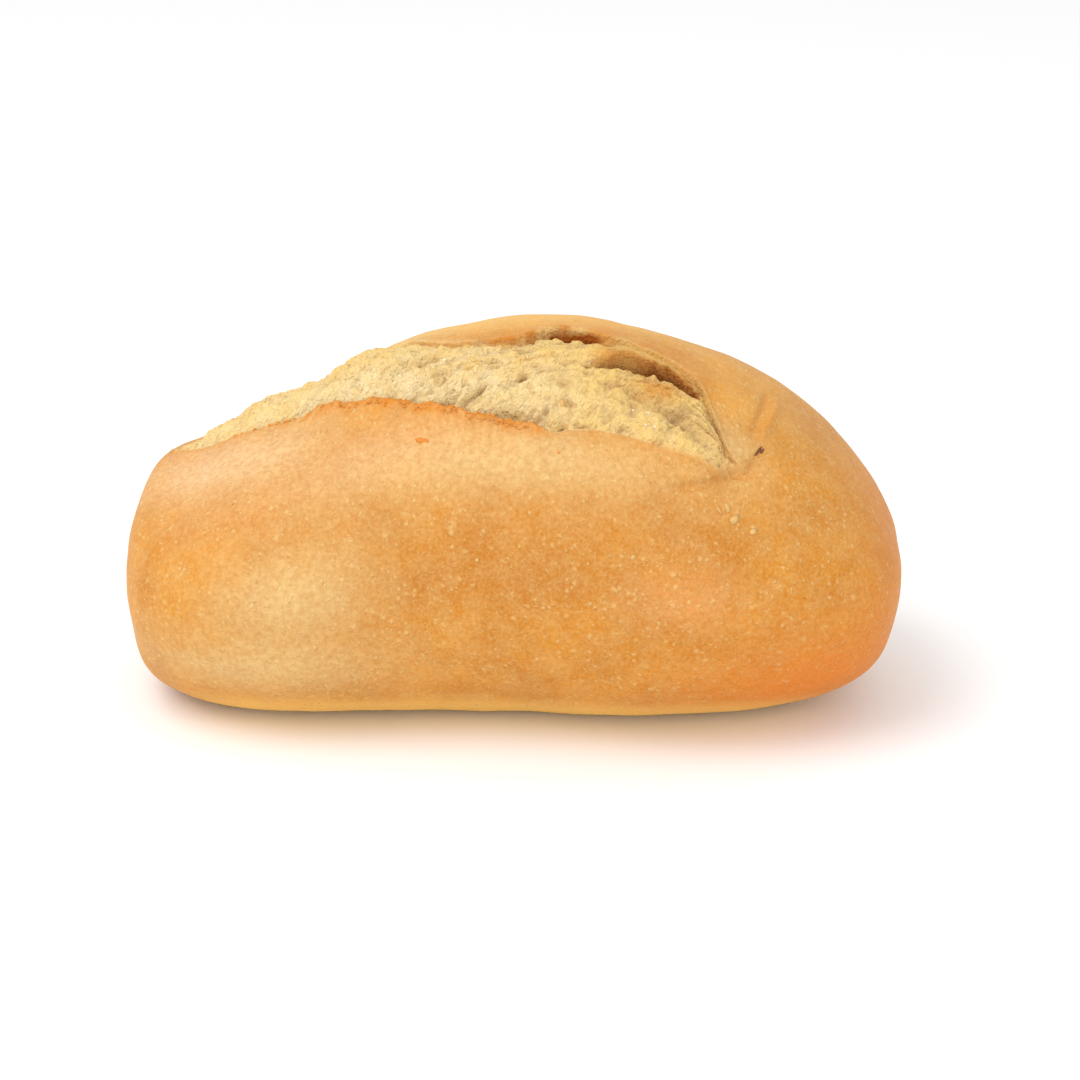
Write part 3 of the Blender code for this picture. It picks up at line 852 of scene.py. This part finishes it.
def rest_on_base(z):
    """Height above the table, flat where the form would pass below it, with a rounded edge."""
    rounded = (z + BASE_EDGE_ROUNDING) ** 2 / (4 * BASE_EDGE_ROUNDING)
    return np.where(z <= -BASE_EDGE_ROUNDING, 0, np.where(z >= BASE_EDGE_ROUNDING, z, rounded))


def ring_places():
    """Places along X of the rings, evenly spaced over the outline of the roll as seen from above."""
    x = -np.cos(np.linspace(0, math.pi, OUTLINE_SAMPLES)) * LENGTH / 2
    width = FRONT_WIDTH * roundness(2 * x / LENGTH, FRONT_ROUNDNESS)
    travelled = np.concatenate(([0], np.cumsum(np.hypot(np.diff(x), np.diff(width)))))
    return np.interp(np.linspace(0, travelled[-1], RINGS + 1), travelled, x)


def segment_angle(segment, x):
    """Angle round the roll of a segment's edge, counted from the middle of the base up the front."""
    front, back = score_band(x)
    bands = (
        (BASE_SEGMENTS, -90, -BASE_EDGE_ANGLE),
        (FRONT_SEGMENTS, -BASE_EDGE_ANGLE, front - LIP_BAND),
        (LIP_SEGMENTS, front - LIP_BAND, front),
        (SCORE_SEGMENTS, front, back),
        (LIP_SEGMENTS, back, back + LIP_BAND),
        (BACK_SEGMENTS, back + LIP_BAND, 180 + BASE_EDGE_ANGLE),
        (BASE_SEGMENTS, 180 + BASE_EDGE_ANGLE, 270),
    )
    angle = np.full(x.shape, -90.0)
    for count, start, end in bands:
        angle = np.where(segment > 0, start + (end - start) * np.minimum(segment / count, 1), angle)
        segment = segment - count
    return angle


def guide_segment(place):
    """Count of segments round the guide to one of its points, which may lie between two segments."""
    return math.atan2(-place.y, -place.z) % (2 * math.pi) / (2 * math.pi) * SEGMENTS


def in_score(place):
    """Whether a point of the guide lies in the open score, beside its lips or at the folds right of it."""
    first = BASE_SEGMENTS + FRONT_SEGMENTS
    last = first + 2 * LIP_SEGMENTS + SCORE_SEGMENTS
    segment = guide_segment(place)
    for (start, end), before, after in (
        (FINE_REACH_X, FINE_MARGIN, FINE_MARGIN),
        (FOLD_REACH_X, *FOLD_MARGINS),
    ):
        if start * MM < place.x < end * MM and first - before < segment < last + after:
            return True
    return False


def make_guide():
    """A tube whose points carry their place along the roll as X and their segment as the angle round X."""
    guide = bmesh.new()
    bmesh.ops.create_uvsphere(guide, u_segments=SEGMENTS, v_segments=RINGS, radius=1)
    poles_on_x = Matrix.Rotation(math.radians(-90), 3, "Y")
    bmesh.ops.rotate(guide, verts=guide.verts, cent=(0, 0, 0), matrix=poles_on_x)
    places = ring_places()
    for v in guide.verts:
        ring = round(math.acos(max(-1.0, min(1.0, -v.co.x))) / math.pi * RINGS)
        turn = round(guide_segment(v.co)) / SEGMENTS * 2 * math.pi
        v.co = (places[ring], -math.sin(turn), -math.cos(turn))
    fine = [edge for edge in guide.edges if all(in_score(v.co) for v in edge.verts)]
    bmesh.ops.subdivide_edges(guide, edges=fine, cuts=FINE_CUTS, use_grid_fill=True)
    bmesh.ops.triangulate(guide, faces=[face for face in guide.faces if len(face.verts) > 4])
    return guide


def patches(x, angle, ovals):
    """The sum of soft oval patches of the crust."""
    total = np.zeros(x.shape)
    for strength, middle_x, middle_angle, spread_x, spread_angle in ovals:
        away_x = (x / MM - middle_x) / spread_x
        away_angle = (angle - middle_angle) / spread_angle
        total += strength * np.exp(-(away_x**2) - away_angle**2)
    return total


def spots(points, rounds):
    """The sum of soft round patches of the crust."""
    total = np.zeros(len(points))
    for strength, middle, spread in rounds:
        away = (points / MM - np.array(middle)) / np.array(spread)
        total += strength * np.exp(-(away**2).sum(axis=1))
    return total


def browned_edges_and_painted_fold(x, angle, marks):
    """How browned each place is: most at the ear, less beside it, behind the back lip and on the hood. It
    also holds a painted highlight on the fold ridge at the right end and painted shade in the grooves
    beside it.
    """
    from_front = marks["from_front"]
    mottle = skin_noise(x, angle, MOTTLE_SIZE, LEVELS["mottle"])
    layers = noise_field(x / LAYER_SIZE[0], from_front / LAYER_SIZE[1], LEVELS["ear_layers"])
    band = BROWNED_BAND + ragged_course(x, BROWNED_BAND_WAVES)
    past_lip = 1 - smooth_step(from_front, 0, 0.4 * MM)
    below_lip = np.where(from_front < 0, np.exp(from_front / band), past_lip)
    border = stretch(x, BROWNED_LEFT_REACH_X) * np.exp(-((from_front / (1.2 * MM)) ** 2))
    border *= smooth_step(mottle, 0.05, 0.45)
    behind_lip = np.exp(-np.abs(marks["from_back"]) / (1.3 * MM))
    behind_lip *= stretch(x, BROWNED_BACK_REACH_X, 3 * MM)
    browned = marks["ear"] * below_lip * (0.85 + 0.8 * mottle + 0.9 * layers) + 0.8 * border
    browned += behind_lip * (0.5 + 0.9 * mottle)
    browned += 1.1 * marks["hood"] * stretch(x, BROWNED_HOOD_REACH_X, 3 * MM)
    browned += patches(x, angle, BROWNED_PATCHES) * (1 + mottle)
    # Painted highlight along the fold ridge at the right end, and painted shade in the grooves beside it.
    return browned + 0.25 * marks["skin_fold"] + 0.1 * marks["crease_shade"]


def crust_zones(x, angle, points, marks):
    """Shares of each tone at each place. Toasted is for the crust and the crumb alike."""
    share = marks["share"]
    crags = marks["crags"]
    # Painted bounce light from the floor: low on the roll and away from its ends.
    bright = (1 - smooth_step(points[:, 2], *PAINTED_BOUNCE_TOP)) * smooth_step(-np.abs(x), *PAINTED_BOUNCE_ENDS)
    toasted_crumb = smooth_step(x, *TOASTED_RIGHT) * (0.75 + 0.25 * smooth_step(share, 0, 0.6))
    toasted_crumb += 0.2 * smooth_step(-x, *TOASTED_LEFT) + 0.15 * smooth_step(share, 0.4, 0.8)
    well_done = patches(x, angle, WELL_DONE_PATCHES)
    # Painted shade in the crumb: darker where it lies low, in the pits, the hollow and the fold, and
    # lighter on the ridge.
    painted_hollow_shade = np.clip(0.15 - 0.9 * crags, 0, 1) + 0.9 * np.clip(marks["pits"], 0, 1)
    painted_hollow_shade += 0.25 * marks["hollow"] + 0.5 * marks["fold"] - 0.6 * marks["ridge"]
    fresh = stretch(x, FRESH_CRUMB_REACH_X) * (1 - smooth_step(share, 0.3, 0.6))
    painted_gap_shade = 0.3 * smooth_step(x, *GAP_SHADE_STARTS) + 0.7 * smooth_step(x, *GAP_SHADE_FULL)
    return {
        "crumb": marks["crumb"],
        "browned": browned_edges_and_painted_fold(x, angle, marks),
        "pale": patches(x, angle, PALE_PATCHES),
        "blush": patches(x, angle, BLUSH_PATCHES),
        # Most baked crust, with painted shade, low on the right.
        "ruddy_with_painted_shade": spots(points, RUDDY_SHADE_SPOTS),
        # Painted light along the base and on the rim of the top.
        "bright": bright + patches(x, angle, PAINTED_LIGHT_PATCHES),
        "toasted": well_done + (toasted_crumb - well_done) * marks["crumb"],
        # Painted shade in the crumb's low places.
        "painted_hollow_shade": painted_hollow_shade,
        "dried": np.clip(0.3 + 0.8 * crags, 0, 1) * (1 - 0.75 * fresh),
        # Painted shade on the inner wall under the hood, fullest towards the right.
        "gap": marks["wall"] * painted_gap_shade,
        "slit": marks["slit"],
        # Painted sheen, a painted highlight near the left end.
        "painted_sheen": patches(x, angle, PAINTED_SHEEN_PATCHES),
    }


def add_node(tree, kind, settings, inputs, output=0):
    """Adds a node with its settings and gives one output. An input is a value or another node's output."""
    new = tree.nodes.new(kind)
    for name, value in settings.items():
        setattr(new, name, value)
    for key, value in inputs.items():
        if isinstance(value, bpy.types.NodeSocket):
            tree.links.new(value, new.inputs[key])
        else:
            new.inputs[key].default_value = value
    return new.outputs[output]


def start_material(name):
    """An empty material, its tree and its shader."""
    material = bpy.data.materials.new(name)
    material.use_nodes = True
    tree = material.node_tree
    tree.nodes.clear()
    surface = add_node(tree, "ShaderNodeBsdfPrincipled", {}, {})
    output = tree.nodes.new("ShaderNodeOutputMaterial")
    tree.links.new(surface, output.inputs["Surface"])
    return material, tree, surface.node


def paint(tree, base, layers):
    """Lays tones over a base tone. Each layer is where it lies, how strongly, and its tone."""
    under, over = MIX_COLOURS
    for place, share, tone in layers:
        held = add_node(
            tree, "ShaderNodeMath", {"operation": "MULTIPLY", "use_clamp": True}, {0: place, 1: share}
        )
        inputs = {MIX_FACTOR: held, under: base, over: tone}
        base = add_node(tree, "ShaderNodeMix", {"data_type": "RGBA"}, inputs, MIXED_COLOUR)
    return base


def add_heights(tree, layers):
    """The sum of relief layers, each from 0 to 1 and with its height in millimetres."""
    total = 0.0
    for layer, height in layers:
        inputs = {0: layer, 1: height / MM, 2: total}
        total = add_node(tree, "ShaderNodeMath", {"operation": "MULTIPLY_ADD"}, inputs)
    return total


def cloud(tree, place, size, detail, low=0.35, high=0.65):
    """Soft uneven spots of a real size, from 0 to 1."""
    inputs = {"Vector": place, "Scale": 1 / size, "Detail": detail}
    clouded = add_node(tree, "ShaderNodeTexNoise", {}, inputs)
    inputs = {"Value": clouded, "From Min": low, "From Max": high}
    return add_node(tree, "ShaderNodeMapRange", {}, inputs)


def blisters(tree, place, spacing, radius, kept):
    """Scattered round blisters, from 0 to 1, of uneven size.

    The radius is a share of the spacing, and kept is the share of the places that hold a blister.
    """
    cells = add_node(tree, "ShaderNodeTexVoronoi", {}, {"Vector": place, "Scale": 1 / spacing}).node
    drawn = add_node(tree, "ShaderNodeSeparateColor", {}, {"Color": cells.outputs["Color"]}).node
    inputs = {"Value": drawn.outputs[0], "To Min": 0.45 * radius, "To Max": 1.3 * radius}
    size = add_node(tree, "ShaderNodeMapRange", {}, inputs)
    inputs = {0: cells.outputs["Distance"], 1: size}
    reached = add_node(tree, "ShaderNodeMath", {"operation": "DIVIDE"}, inputs)
    settings = {"interpolation_type": "SMOOTHSTEP"}
    inputs = {"Value": reached, "From Min": 1.0, "From Max": 0.1}
    dome = add_node(tree, "ShaderNodeMapRange", settings, inputs)
    chosen = add_node(tree, "ShaderNodeMath", {"operation": "LESS_THAN"}, {0: drawn.outputs[1], 1: kept})
    return add_node(tree, "ShaderNodeMath", {"operation": "MULTIPLY"}, {0: dome, 1: chosen})


def swayed_place(tree, place):
    """Places moved a little to and fro, so that no blister is a true circle."""
    inputs = {"Vector": place, "Scale": 1 / (1.1 * MM), "Detail": 1.0}
    sway = add_node(tree, "ShaderNodeTexNoise", {}, inputs, "Color")
    inputs = {0: sway, 1: (0.55 * MM, 0.55 * MM, 0.55 * MM), 2: place}
    return add_node(tree, "ShaderNodeVectorMath", {"operation": "MULTIPLY_ADD"}, inputs)


def bread_material(crust, crumb):
    """Baked crust over torn crumb.

    The crust has a soft sheen, is golden with reddish orange and pale places, and is covered in tiny
    blisters. It carries painted light along the base and the rim of the top, painted sheen near the left
    end, and painted shade in the reddish orange places low on the right.
    The crumb is matt and pale, finely grained, with painted shade in its hollows, pits and folds and in
    the gap and slit under the lips.
    """
    material, tree, shader = start_material("baked_crust_and_torn_crumb")
    place = add_node(tree, "ShaderNodeTexCoord", {}, {}, "Object")
    zone = {
        name: add_node(tree, "ShaderNodeAttribute", {"attribute_name": name}, {}, "Fac") for name in ZONES
    }
    strand = add_node(tree, "ShaderNodeAttribute", {"attribute_name": "strand"}, {}, "Vector")

    swayed = swayed_place(tree, place)
    spacing = crust.blister_spacing
    middle = blisters(tree, swayed, spacing, radius=0.38, kept=0.8)
    small = blisters(tree, swayed, 0.5 * spacing, radius=0.42, kept=0.8)
    large = blisters(tree, swayed, 2.9 * spacing, radius=0.22, kept=0.5)
    specks = blisters(tree, place, 3.2 * MM, radius=0.075, kept=0.5)
    fine = cloud(tree, place, 0.55 * MM, detail=3.0)
    tone = {name: (*getattr(crust, name), 1) for name in CRUST_TONES}
    skin = paint(
        tree,
        tone["golden"],
        (
            (cloud(tree, place, 9 * MM, detail=2.0), 0.6, tone["toasted"]),
            (zone["toasted"], 0.7, tone["toasted"]),
            (cloud(tree, place, 3 * MM, detail=2.0), 0.15, tone["pale"]),
            # most baked crust, with painted shade low on the right
            (zone["ruddy_with_painted_shade"], 0.9, tone["ruddy_with_painted_shade"]),
            (zone["pale"], 0.85, tone["pale"]),
            (zone["blush"], 0.6, tone["blush"]),
            # painted highlight near the left end
            (zone["painted_sheen"], 0.8, tone["painted_sheen"]),
            (cloud(tree, place, 0.9 * MM, detail=2.0), 0.35, tone["toasted"]),
            (fine, 0.16, tone["blister"]),
            (small, 0.3, tone["blister"]),
            (middle, 0.42, tone["blister"]),
            (large, 0.35, tone["blister"]),
            # most baked crust, with painted shade low on the right, laid again over the blisters
            (zone["ruddy_with_painted_shade"], 0.5, tone["ruddy_with_painted_shade"]),
            # painted light from the floor along the base, and on the rim of the top
            (zone["bright"], 0.85, tone["bright"]),
            (specks, 0.75, tone["speck"]),
        ),
    )

    torn = {name: (*getattr(crumb, name), 1) for name in CRUMB_TONES}
    # Painted shade in the crumb's low places, browner where the crumb is toasted.
    inputs = {0: zone["painted_hollow_shade"], 1: zone["toasted"]}
    painted_fold_shade = add_node(tree, "ShaderNodeMath", {"operation": "MULTIPLY"}, inputs)
    tiny_pits = blisters(tree, swayed, 0.95 * MM, radius=0.42, kept=0.6)
    soft = paint(
        tree,
        torn["cream"],
        (
            (cloud(tree, place, 3.5 * MM, detail=2.0), 0.3, torn["yellow"]),
            (zone["dried"], 0.85, torn["yellow"]),
            (zone["toasted"], 0.8, torn["tan"]),
            (cloud(tree, place, 0.8 * MM, detail=3.0), 0.3, torn["yellow"]),
            (cloud(tree, place, 0.5 * MM, detail=3.0, low=0.5, high=0.75), 0.3, torn["shade"]),
            # painted shade in the tiny pits and in the crumb's low places, browner in the toasted folds
            (tiny_pits, 0.22, torn["shade"]),
            (zone["painted_hollow_shade"], 0.75, torn["shade"]),
            (painted_fold_shade, 0.28, torn["gap"]),
        ),
    )
    under, over = MIX_COLOURS
    inputs = {MIX_FACTOR: zone["crumb"], under: skin, over: soft}
    bread = add_node(tree, "ShaderNodeMix", {"data_type": "RGBA"}, inputs, MIXED_COLOUR)
    hairs = cloud(tree, place, 0.5 * MM, detail=3.0)
    bread = paint(
        tree,
        bread,
        (
            # browned edges, with a painted highlight on the fold ridge and painted shade in the grooves at
            # the right end
            (zone["browned"], 0.95, tone["browned"]),
            # painted shade on the inner wall of the gap under the hood
            (zone["gap"], 1.0, paint(tree, torn["gap"], ((hairs, 0.35, torn["tan"]),))),
            # painted shade inside the slit under the back lip
            (zone["slit"], 1.0, paint(tree, torn["slit"], ((hairs, 0.25, torn["gap"]),))),
        ),
    )
    tree.links.new(bread, shader.inputs["Base Color"])

    high = crust.blister_height
    layers = ((middle, high), (small, 0.6 * high), (large, 1.7 * high), (fine, 0.55 * high))
    skin_height = add_heights(tree, layers)
    stretched = add_node(tree, "ShaderNodeMapping", {}, {"Vector": strand, "Scale": (0.3, 1.0, 1.0)})
    layers = (
        (cloud(tree, stretched, 0.45 * MM, detail=4.0), 1.2 * crumb.fibre_height),
        (cloud(tree, place, crumb.grain_size, detail=3.0), crumb.fibre_height),
        (tiny_pits, -crumb.fibre_height),
    )
    crumb_height = add_heights(tree, layers)
    under, over = MIX_NUMBERS
    inputs = {MIX_FACTOR: zone["crumb"], under: skin_height, over: crumb_height}
    height = add_node(tree, "ShaderNodeMix", {"data_type": "FLOAT"}, inputs)
    relief = add_node(tree, "ShaderNodeBump", {}, {"Strength": 1.0, "Distance": MM, "Height": height})
    tree.links.new(relief, shader.inputs["Normal"])
    glossy = add_node(tree, "ShaderNodeMapRange", {}, {"Value": middle, "To Min": 0.52, "To Max": 0.34})
    inputs = {MIX_FACTOR: zone["crumb"], under: glossy, over: 0.9}
    roughness = add_node(tree, "ShaderNodeMix", {"data_type": "FLOAT"}, inputs)
    tree.links.new(roughness, shader.inputs["Roughness"])
    shader.inputs["Specular IOR Level"].default_value = 0.2
    shader.inputs["Sheen Weight"].default_value = 0.12
    shader.inputs["Sheen Roughness"].default_value = 0.4
    shader.inputs["Sheen Tint"].default_value = (*crust.bright, 1)
    return material


def bit_material(name, tone, roughness, size):
    """A small dry bit of dough or flour: matt, with a slightly uneven colour."""
    material, tree, shader = start_material(name)
    place = add_node(tree, "ShaderNodeTexCoord", {}, {}, "Object")
    clouded = cloud(tree, place, size, detail=2.0)
    darker = [0.82 * share for share in tone]
    mixed = paint(tree, (*tone, 1), ((clouded, 0.8, (*darker, 1)),))
    relief = add_node(tree, "ShaderNodeBump", {}, {"Distance": 0.05 * MM, "Height": clouded})
    tree.links.new(mixed, shader.inputs["Base Color"])
    tree.links.new(relief, shader.inputs["Normal"])
    shader.inputs["Roughness"].default_value = roughness
    return material


def finish_piece(mesh, name, material):
    """Turns a bmesh into a smooth object that rides on the roll's body."""
    data = bpy.data.meshes.new(name)
    mesh.to_mesh(data)
    mesh.free()
    data.shade_smooth()
    data.materials.append(material)
    piece = bpy.data.objects.new(name, data)
    bpy.context.scene.collection.objects.link(piece)
    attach(piece, "root")
    return piece


def shift_to_solid(points):
    """The move that centres the roll where the solid is."""
    lowest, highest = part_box(NODE)
    middle = (np.array(lowest) + np.array(highest)) / 2
    shift = middle - (points.min(axis=0) + points.max(axis=0)) / 2
    shift[2] = 0
    return shift


def surface_at(x, angle, shift):
    """A point on the finished roll and the direction outwards there."""
    steps_x = np.array([x, x + BIT_STEP_X, x]) * MM
    steps_angle = np.array([angle, angle, angle + BIT_STEP_ANGLE])
    points = loaf_surface(steps_x, steps_angle)[0] + shift
    outward = np.cross(points[1] - points[0], points[2] - points[0])
    return Vector(points[0]), Vector(outward).normalized()


class BOLILLO_OT_loaf(bpy.types.Operator):
    """Make the roll, in place of the solid"""

    bl_idname = "bolillo.loaf"
    bl_label = "Roll"

    def execute(self, context):
        mesh = make_guide()
        x = np.array([v.co.x for v in mesh.verts])
        segment = np.array([guide_segment(v.co) for v in mesh.verts])
        angle = segment_angle(segment, x)
        points, marks = loaf_surface(x, angle)
        points[:, 2] = rest_on_base(points[:, 2])
        shift = shift_to_solid(points)
        points += shift
        context.scene["bolillo_shift"] = shift.tolist()
        for v, point in zip(mesh.verts, points.tolist()):
            v.co = point
        bmesh.ops.recalc_face_normals(mesh, faces=mesh.faces)
        material = bread_material(context.scene.bolillo_crust, context.scene.bolillo_crumb)
        piece = finish_piece(mesh, "roll", material)
        for name, values in crust_zones(x, angle, points, marks).items():
            layer = piece.data.attributes.new(name, "FLOAT", "POINT")
            layer.data.foreach_set("value", np.clip(values, 0, 1).astype(np.float32))
        layer = piece.data.attributes.new("strand", "FLOAT_VECTOR", "POINT")
        layer.data.foreach_set("vector", marks["strand"].astype(np.float32).ravel())
        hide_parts(NODE)
        return {"FINISHED"}


def add_bit(mesh, bit, shift, drawn):
    """Adds a small uneven lump or flake that lies on the roll."""
    x, angle, size, turn = bit
    point, outward = surface_at(x, angle, shift)
    stand = outward.to_track_quat("Z", "Y").to_matrix().to_4x4()
    stand = stand @ Matrix.Rotation(math.radians(turn), 4, "Z")
    scale = Matrix.Diagonal((*(side * MM / 2 for side in size), 1))
    middle = point + outward * (BIT_LIFT * size[2] * MM)
    matrix = Matrix.Translation(middle) @ stand @ scale
    made = bmesh.ops.create_icosphere(mesh, subdivisions=1, radius=1, matrix=matrix)
    for v in made["verts"]:
        v.co = middle + (v.co - middle) * drawn.uniform(*BIT_UNEVENNESS)


def make_bits(name, material, bits, shift, seed):
    """One piece of all the bits of a kind."""
    drawn = random.Random(seed)
    mesh = bmesh.new()
    for bit in bits:
        add_bit(mesh, bit, shift, drawn)
    bmesh.ops.recalc_face_normals(mesh, faces=mesh.faces)
    return finish_piece(mesh, name, material)


def scatter_grains(drawn):
    """The grains of each cluster."""
    grains = []
    for x, angle, count, spread in GRAIN_CLUSTERS:
        for _ in range(count):
            size = drawn.uniform(*GRAIN_SIZES)
            place = (x + drawn.gauss(0, spread), angle + drawn.gauss(0, 0.8 * spread))
            grains.append((*place, (size, 0.8 * size, 0.7 * size), drawn.uniform(0, 180)))
    return grains


def scatter_tatters(drawn):
    """Tatters all along the edge of the ear."""
    tatters = []
    for _ in range(TATTER_COUNT):
        x = drawn.uniform(*EAR_REACH_X)
        edge = float(score_edges(np.array([x * MM]))[0][0])
        size = tuple(drawn.uniform(*limits) for limits in TATTER_SIZES)
        tatters.append((x, edge + drawn.uniform(*TATTER_OFFSETS), size, drawn.uniform(*TATTER_TURNS)))
    return tatters


class BOLILLO_OT_bits(bpy.types.Operator):
    """Make the browned bits of the ear, the flour, the toasted flecks, the flakes and the charred fleck"""

    bl_idname = "bolillo.bits"
    bl_label = "Loose bits"

    def execute(self, context):
        tones = context.scene.bolillo_bits
        shift = np.array(context.scene["bolillo_shift"])
        drawn = random.Random(4)
        grains = scatter_grains(drawn)
        tatters = list(BORDER_LUMPS) + scatter_tatters(drawn)
        # Browned dough looks dry and orange brown, like the edge that it hangs on.
        torn = bit_material("browned_ear_edge", tones.edge, roughness=0.6, size=0.5 * MM)
        make_bits("ear_tatters", torn, tatters, shift, seed=6)
        # Flour caked into grains shows as clear white dots that catch a little light.
        flour = bit_material("white_flour", tones.grain, roughness=0.45, size=0.3 * MM)
        make_bits("flour_grains", flour, grains, shift, seed=1)
        # Bits of dough toasted in the oven stand out in strong orange.
        dough = bit_material("toasted_dough", tones.orange, roughness=0.6, size=0.4 * MM)
        make_bits("toasted_flecks", dough, TOASTED_FLECKS, shift, seed=2)
        # Thin crust that has come loose is paler than the crust under it, and smooth.
        flake = bit_material("thin_crust_flake", tones.flake, roughness=0.5, size=0.6 * MM)
        make_bits("crust_flakes", flake, CRUST_FLAKES, shift, seed=3)
        # Charred dough is the one dark brown mark on the roll, and matt.
        char = bit_material("charred_dough", tones.charred, roughness=0.6, size=0.4 * MM)
        make_bits("charred_fleck", char, CHARRED_FLECK, shift, seed=5)
        return {"FINISHED"}


def make_floor(scene, tone):
    """A wide sheet of plain white paper, which is matt and almost without a reflection."""
    mesh = bmesh.new()
    bmesh.ops.create_grid(mesh, x_segments=1, y_segments=1, size=FLOOR_HALF_SIZE)
    bmesh.ops.translate(mesh, verts=mesh.verts, vec=(0, 0, -FLOOR_CLEARANCE))
    data = bpy.data.meshes.new("floor")
    mesh.to_mesh(data)
    mesh.free()
    material, _, shader = start_material("white_paper")
    shader.inputs["Base Color"].default_value = (*tone, 1)
    shader.inputs["Roughness"].default_value = 0.9
    shader.inputs["Specular IOR Level"].default_value = 0.1
    data.materials.append(material)
    floor = bpy.data.objects.new("floor", data)
    scene.collection.objects.link(floor)


def make_lamp(scene, name, lamp_power, size, place):
    """A square soft lamp that faces the roll."""
    lamp = bpy.data.lights.new(name, "AREA")
    lamp.energy = lamp_power
    lamp.size = size
    light = bpy.data.objects.new(name, lamp)
    light.location = place
    light.rotation_euler = (Vector(place) - Vector(LAMP_AIM)).to_track_quat("Z", "Y").to_euler()
    scene.collection.objects.link(light)


def make_sky(scene, strength):
    """Even white light from all round, with colours shown as they are."""
    world = bpy.data.worlds.new("white_room")
    world.use_nodes = True
    sky = world.node_tree.nodes["Background"]
    sky.inputs["Color"].default_value = (1, 1, 1, 1)
    sky.inputs["Strength"].default_value = strength
    scene.world = world
    scene.view_settings.view_transform = "Standard"


def make_camera(scene):
    """The photograph's view, from the front and a little above."""
    turn, climb = math.radians(CAMERA_TURN), math.radians(CAMERA_CLIMB)
    back = Vector((math.sin(turn) * math.cos(climb), -math.cos(turn) * math.cos(climb), math.sin(climb)))
    lens = bpy.data.cameras.new("camera")
    lens.sensor_width = 36
    lens.lens = CAMERA_LENS
    lens.shift_x, lens.shift_y = CAMERA_SHIFT
    lens.clip_start = 0.01
    camera = bpy.data.objects.new("camera", lens)
    camera.location = Vector(CAMERA_AIM) + CAMERA_DISTANCE * back
    camera.rotation_euler = back.to_track_quat("Z", "Y").to_euler()
    scene.collection.objects.link(camera)
    scene.camera = camera


class BOLILLO_OT_stage(bpy.types.Operator):
    """Make the floor, the light and the camera"""

    bl_idname = "bolillo.stage"
    bl_label = "Stage"

    def execute(self, context):
        scene = context.scene
        settings = scene.bolillo_stage
        make_floor(scene, settings.floor_colour)
        make_lamp(scene, "key", settings.key_power, KEY_SIZE, KEY_PLACE)
        make_lamp(scene, "fill", settings.fill_power, FILL_SIZE, FILL_PLACE)
        make_sky(scene, settings.sky_strength)
        make_camera(scene)
        return {"FINISHED"}


class BOLILLO_PT_panel(bpy.types.Panel):
    """Buttons for the roll and its stage"""

    bl_idname = "BOLILLO_PT_panel"
    bl_label = "Bolillo"
    bl_space_type = "VIEW_3D"
    bl_region_type = "UI"
    bl_category = "Bread"

    def draw(self, context):
        for operator in OPERATORS:
            self.layout.operator(operator.bl_idname)


GROUPS = {
    "bolillo_crust": BOLILLO_PG_crust,
    "bolillo_crumb": BOLILLO_PG_crumb,
    "bolillo_bits": BOLILLO_PG_bits,
    "bolillo_stage": BOLILLO_PG_stage,
}
OPERATORS = (BOLILLO_OT_loaf, BOLILLO_OT_bits, BOLILLO_OT_stage)


def register():
    """Registers the classes and gives the scene their settings."""
    for item in (*GROUPS.values(), *OPERATORS, BOLILLO_PT_panel):
        bpy.utils.register_class(item)
    for name, group in GROUPS.items():
        setattr(bpy.types.Scene, name, PointerProperty(type=group))


def unregister():
    """Undoes what register does."""
    for name in GROUPS:
        delattr(bpy.types.Scene, name)
    for item in reversed((*GROUPS.values(), *OPERATORS, BOLILLO_PT_panel)):
        bpy.utils.unregister_class(item)


def main():
    """Makes the roll, its bits and the stage."""
    register()
    bpy.ops.bolillo.loaf()
    bpy.ops.bolillo.bits()
    bpy.ops.bolillo.stage()


if __name__ == "__main__":
    main()
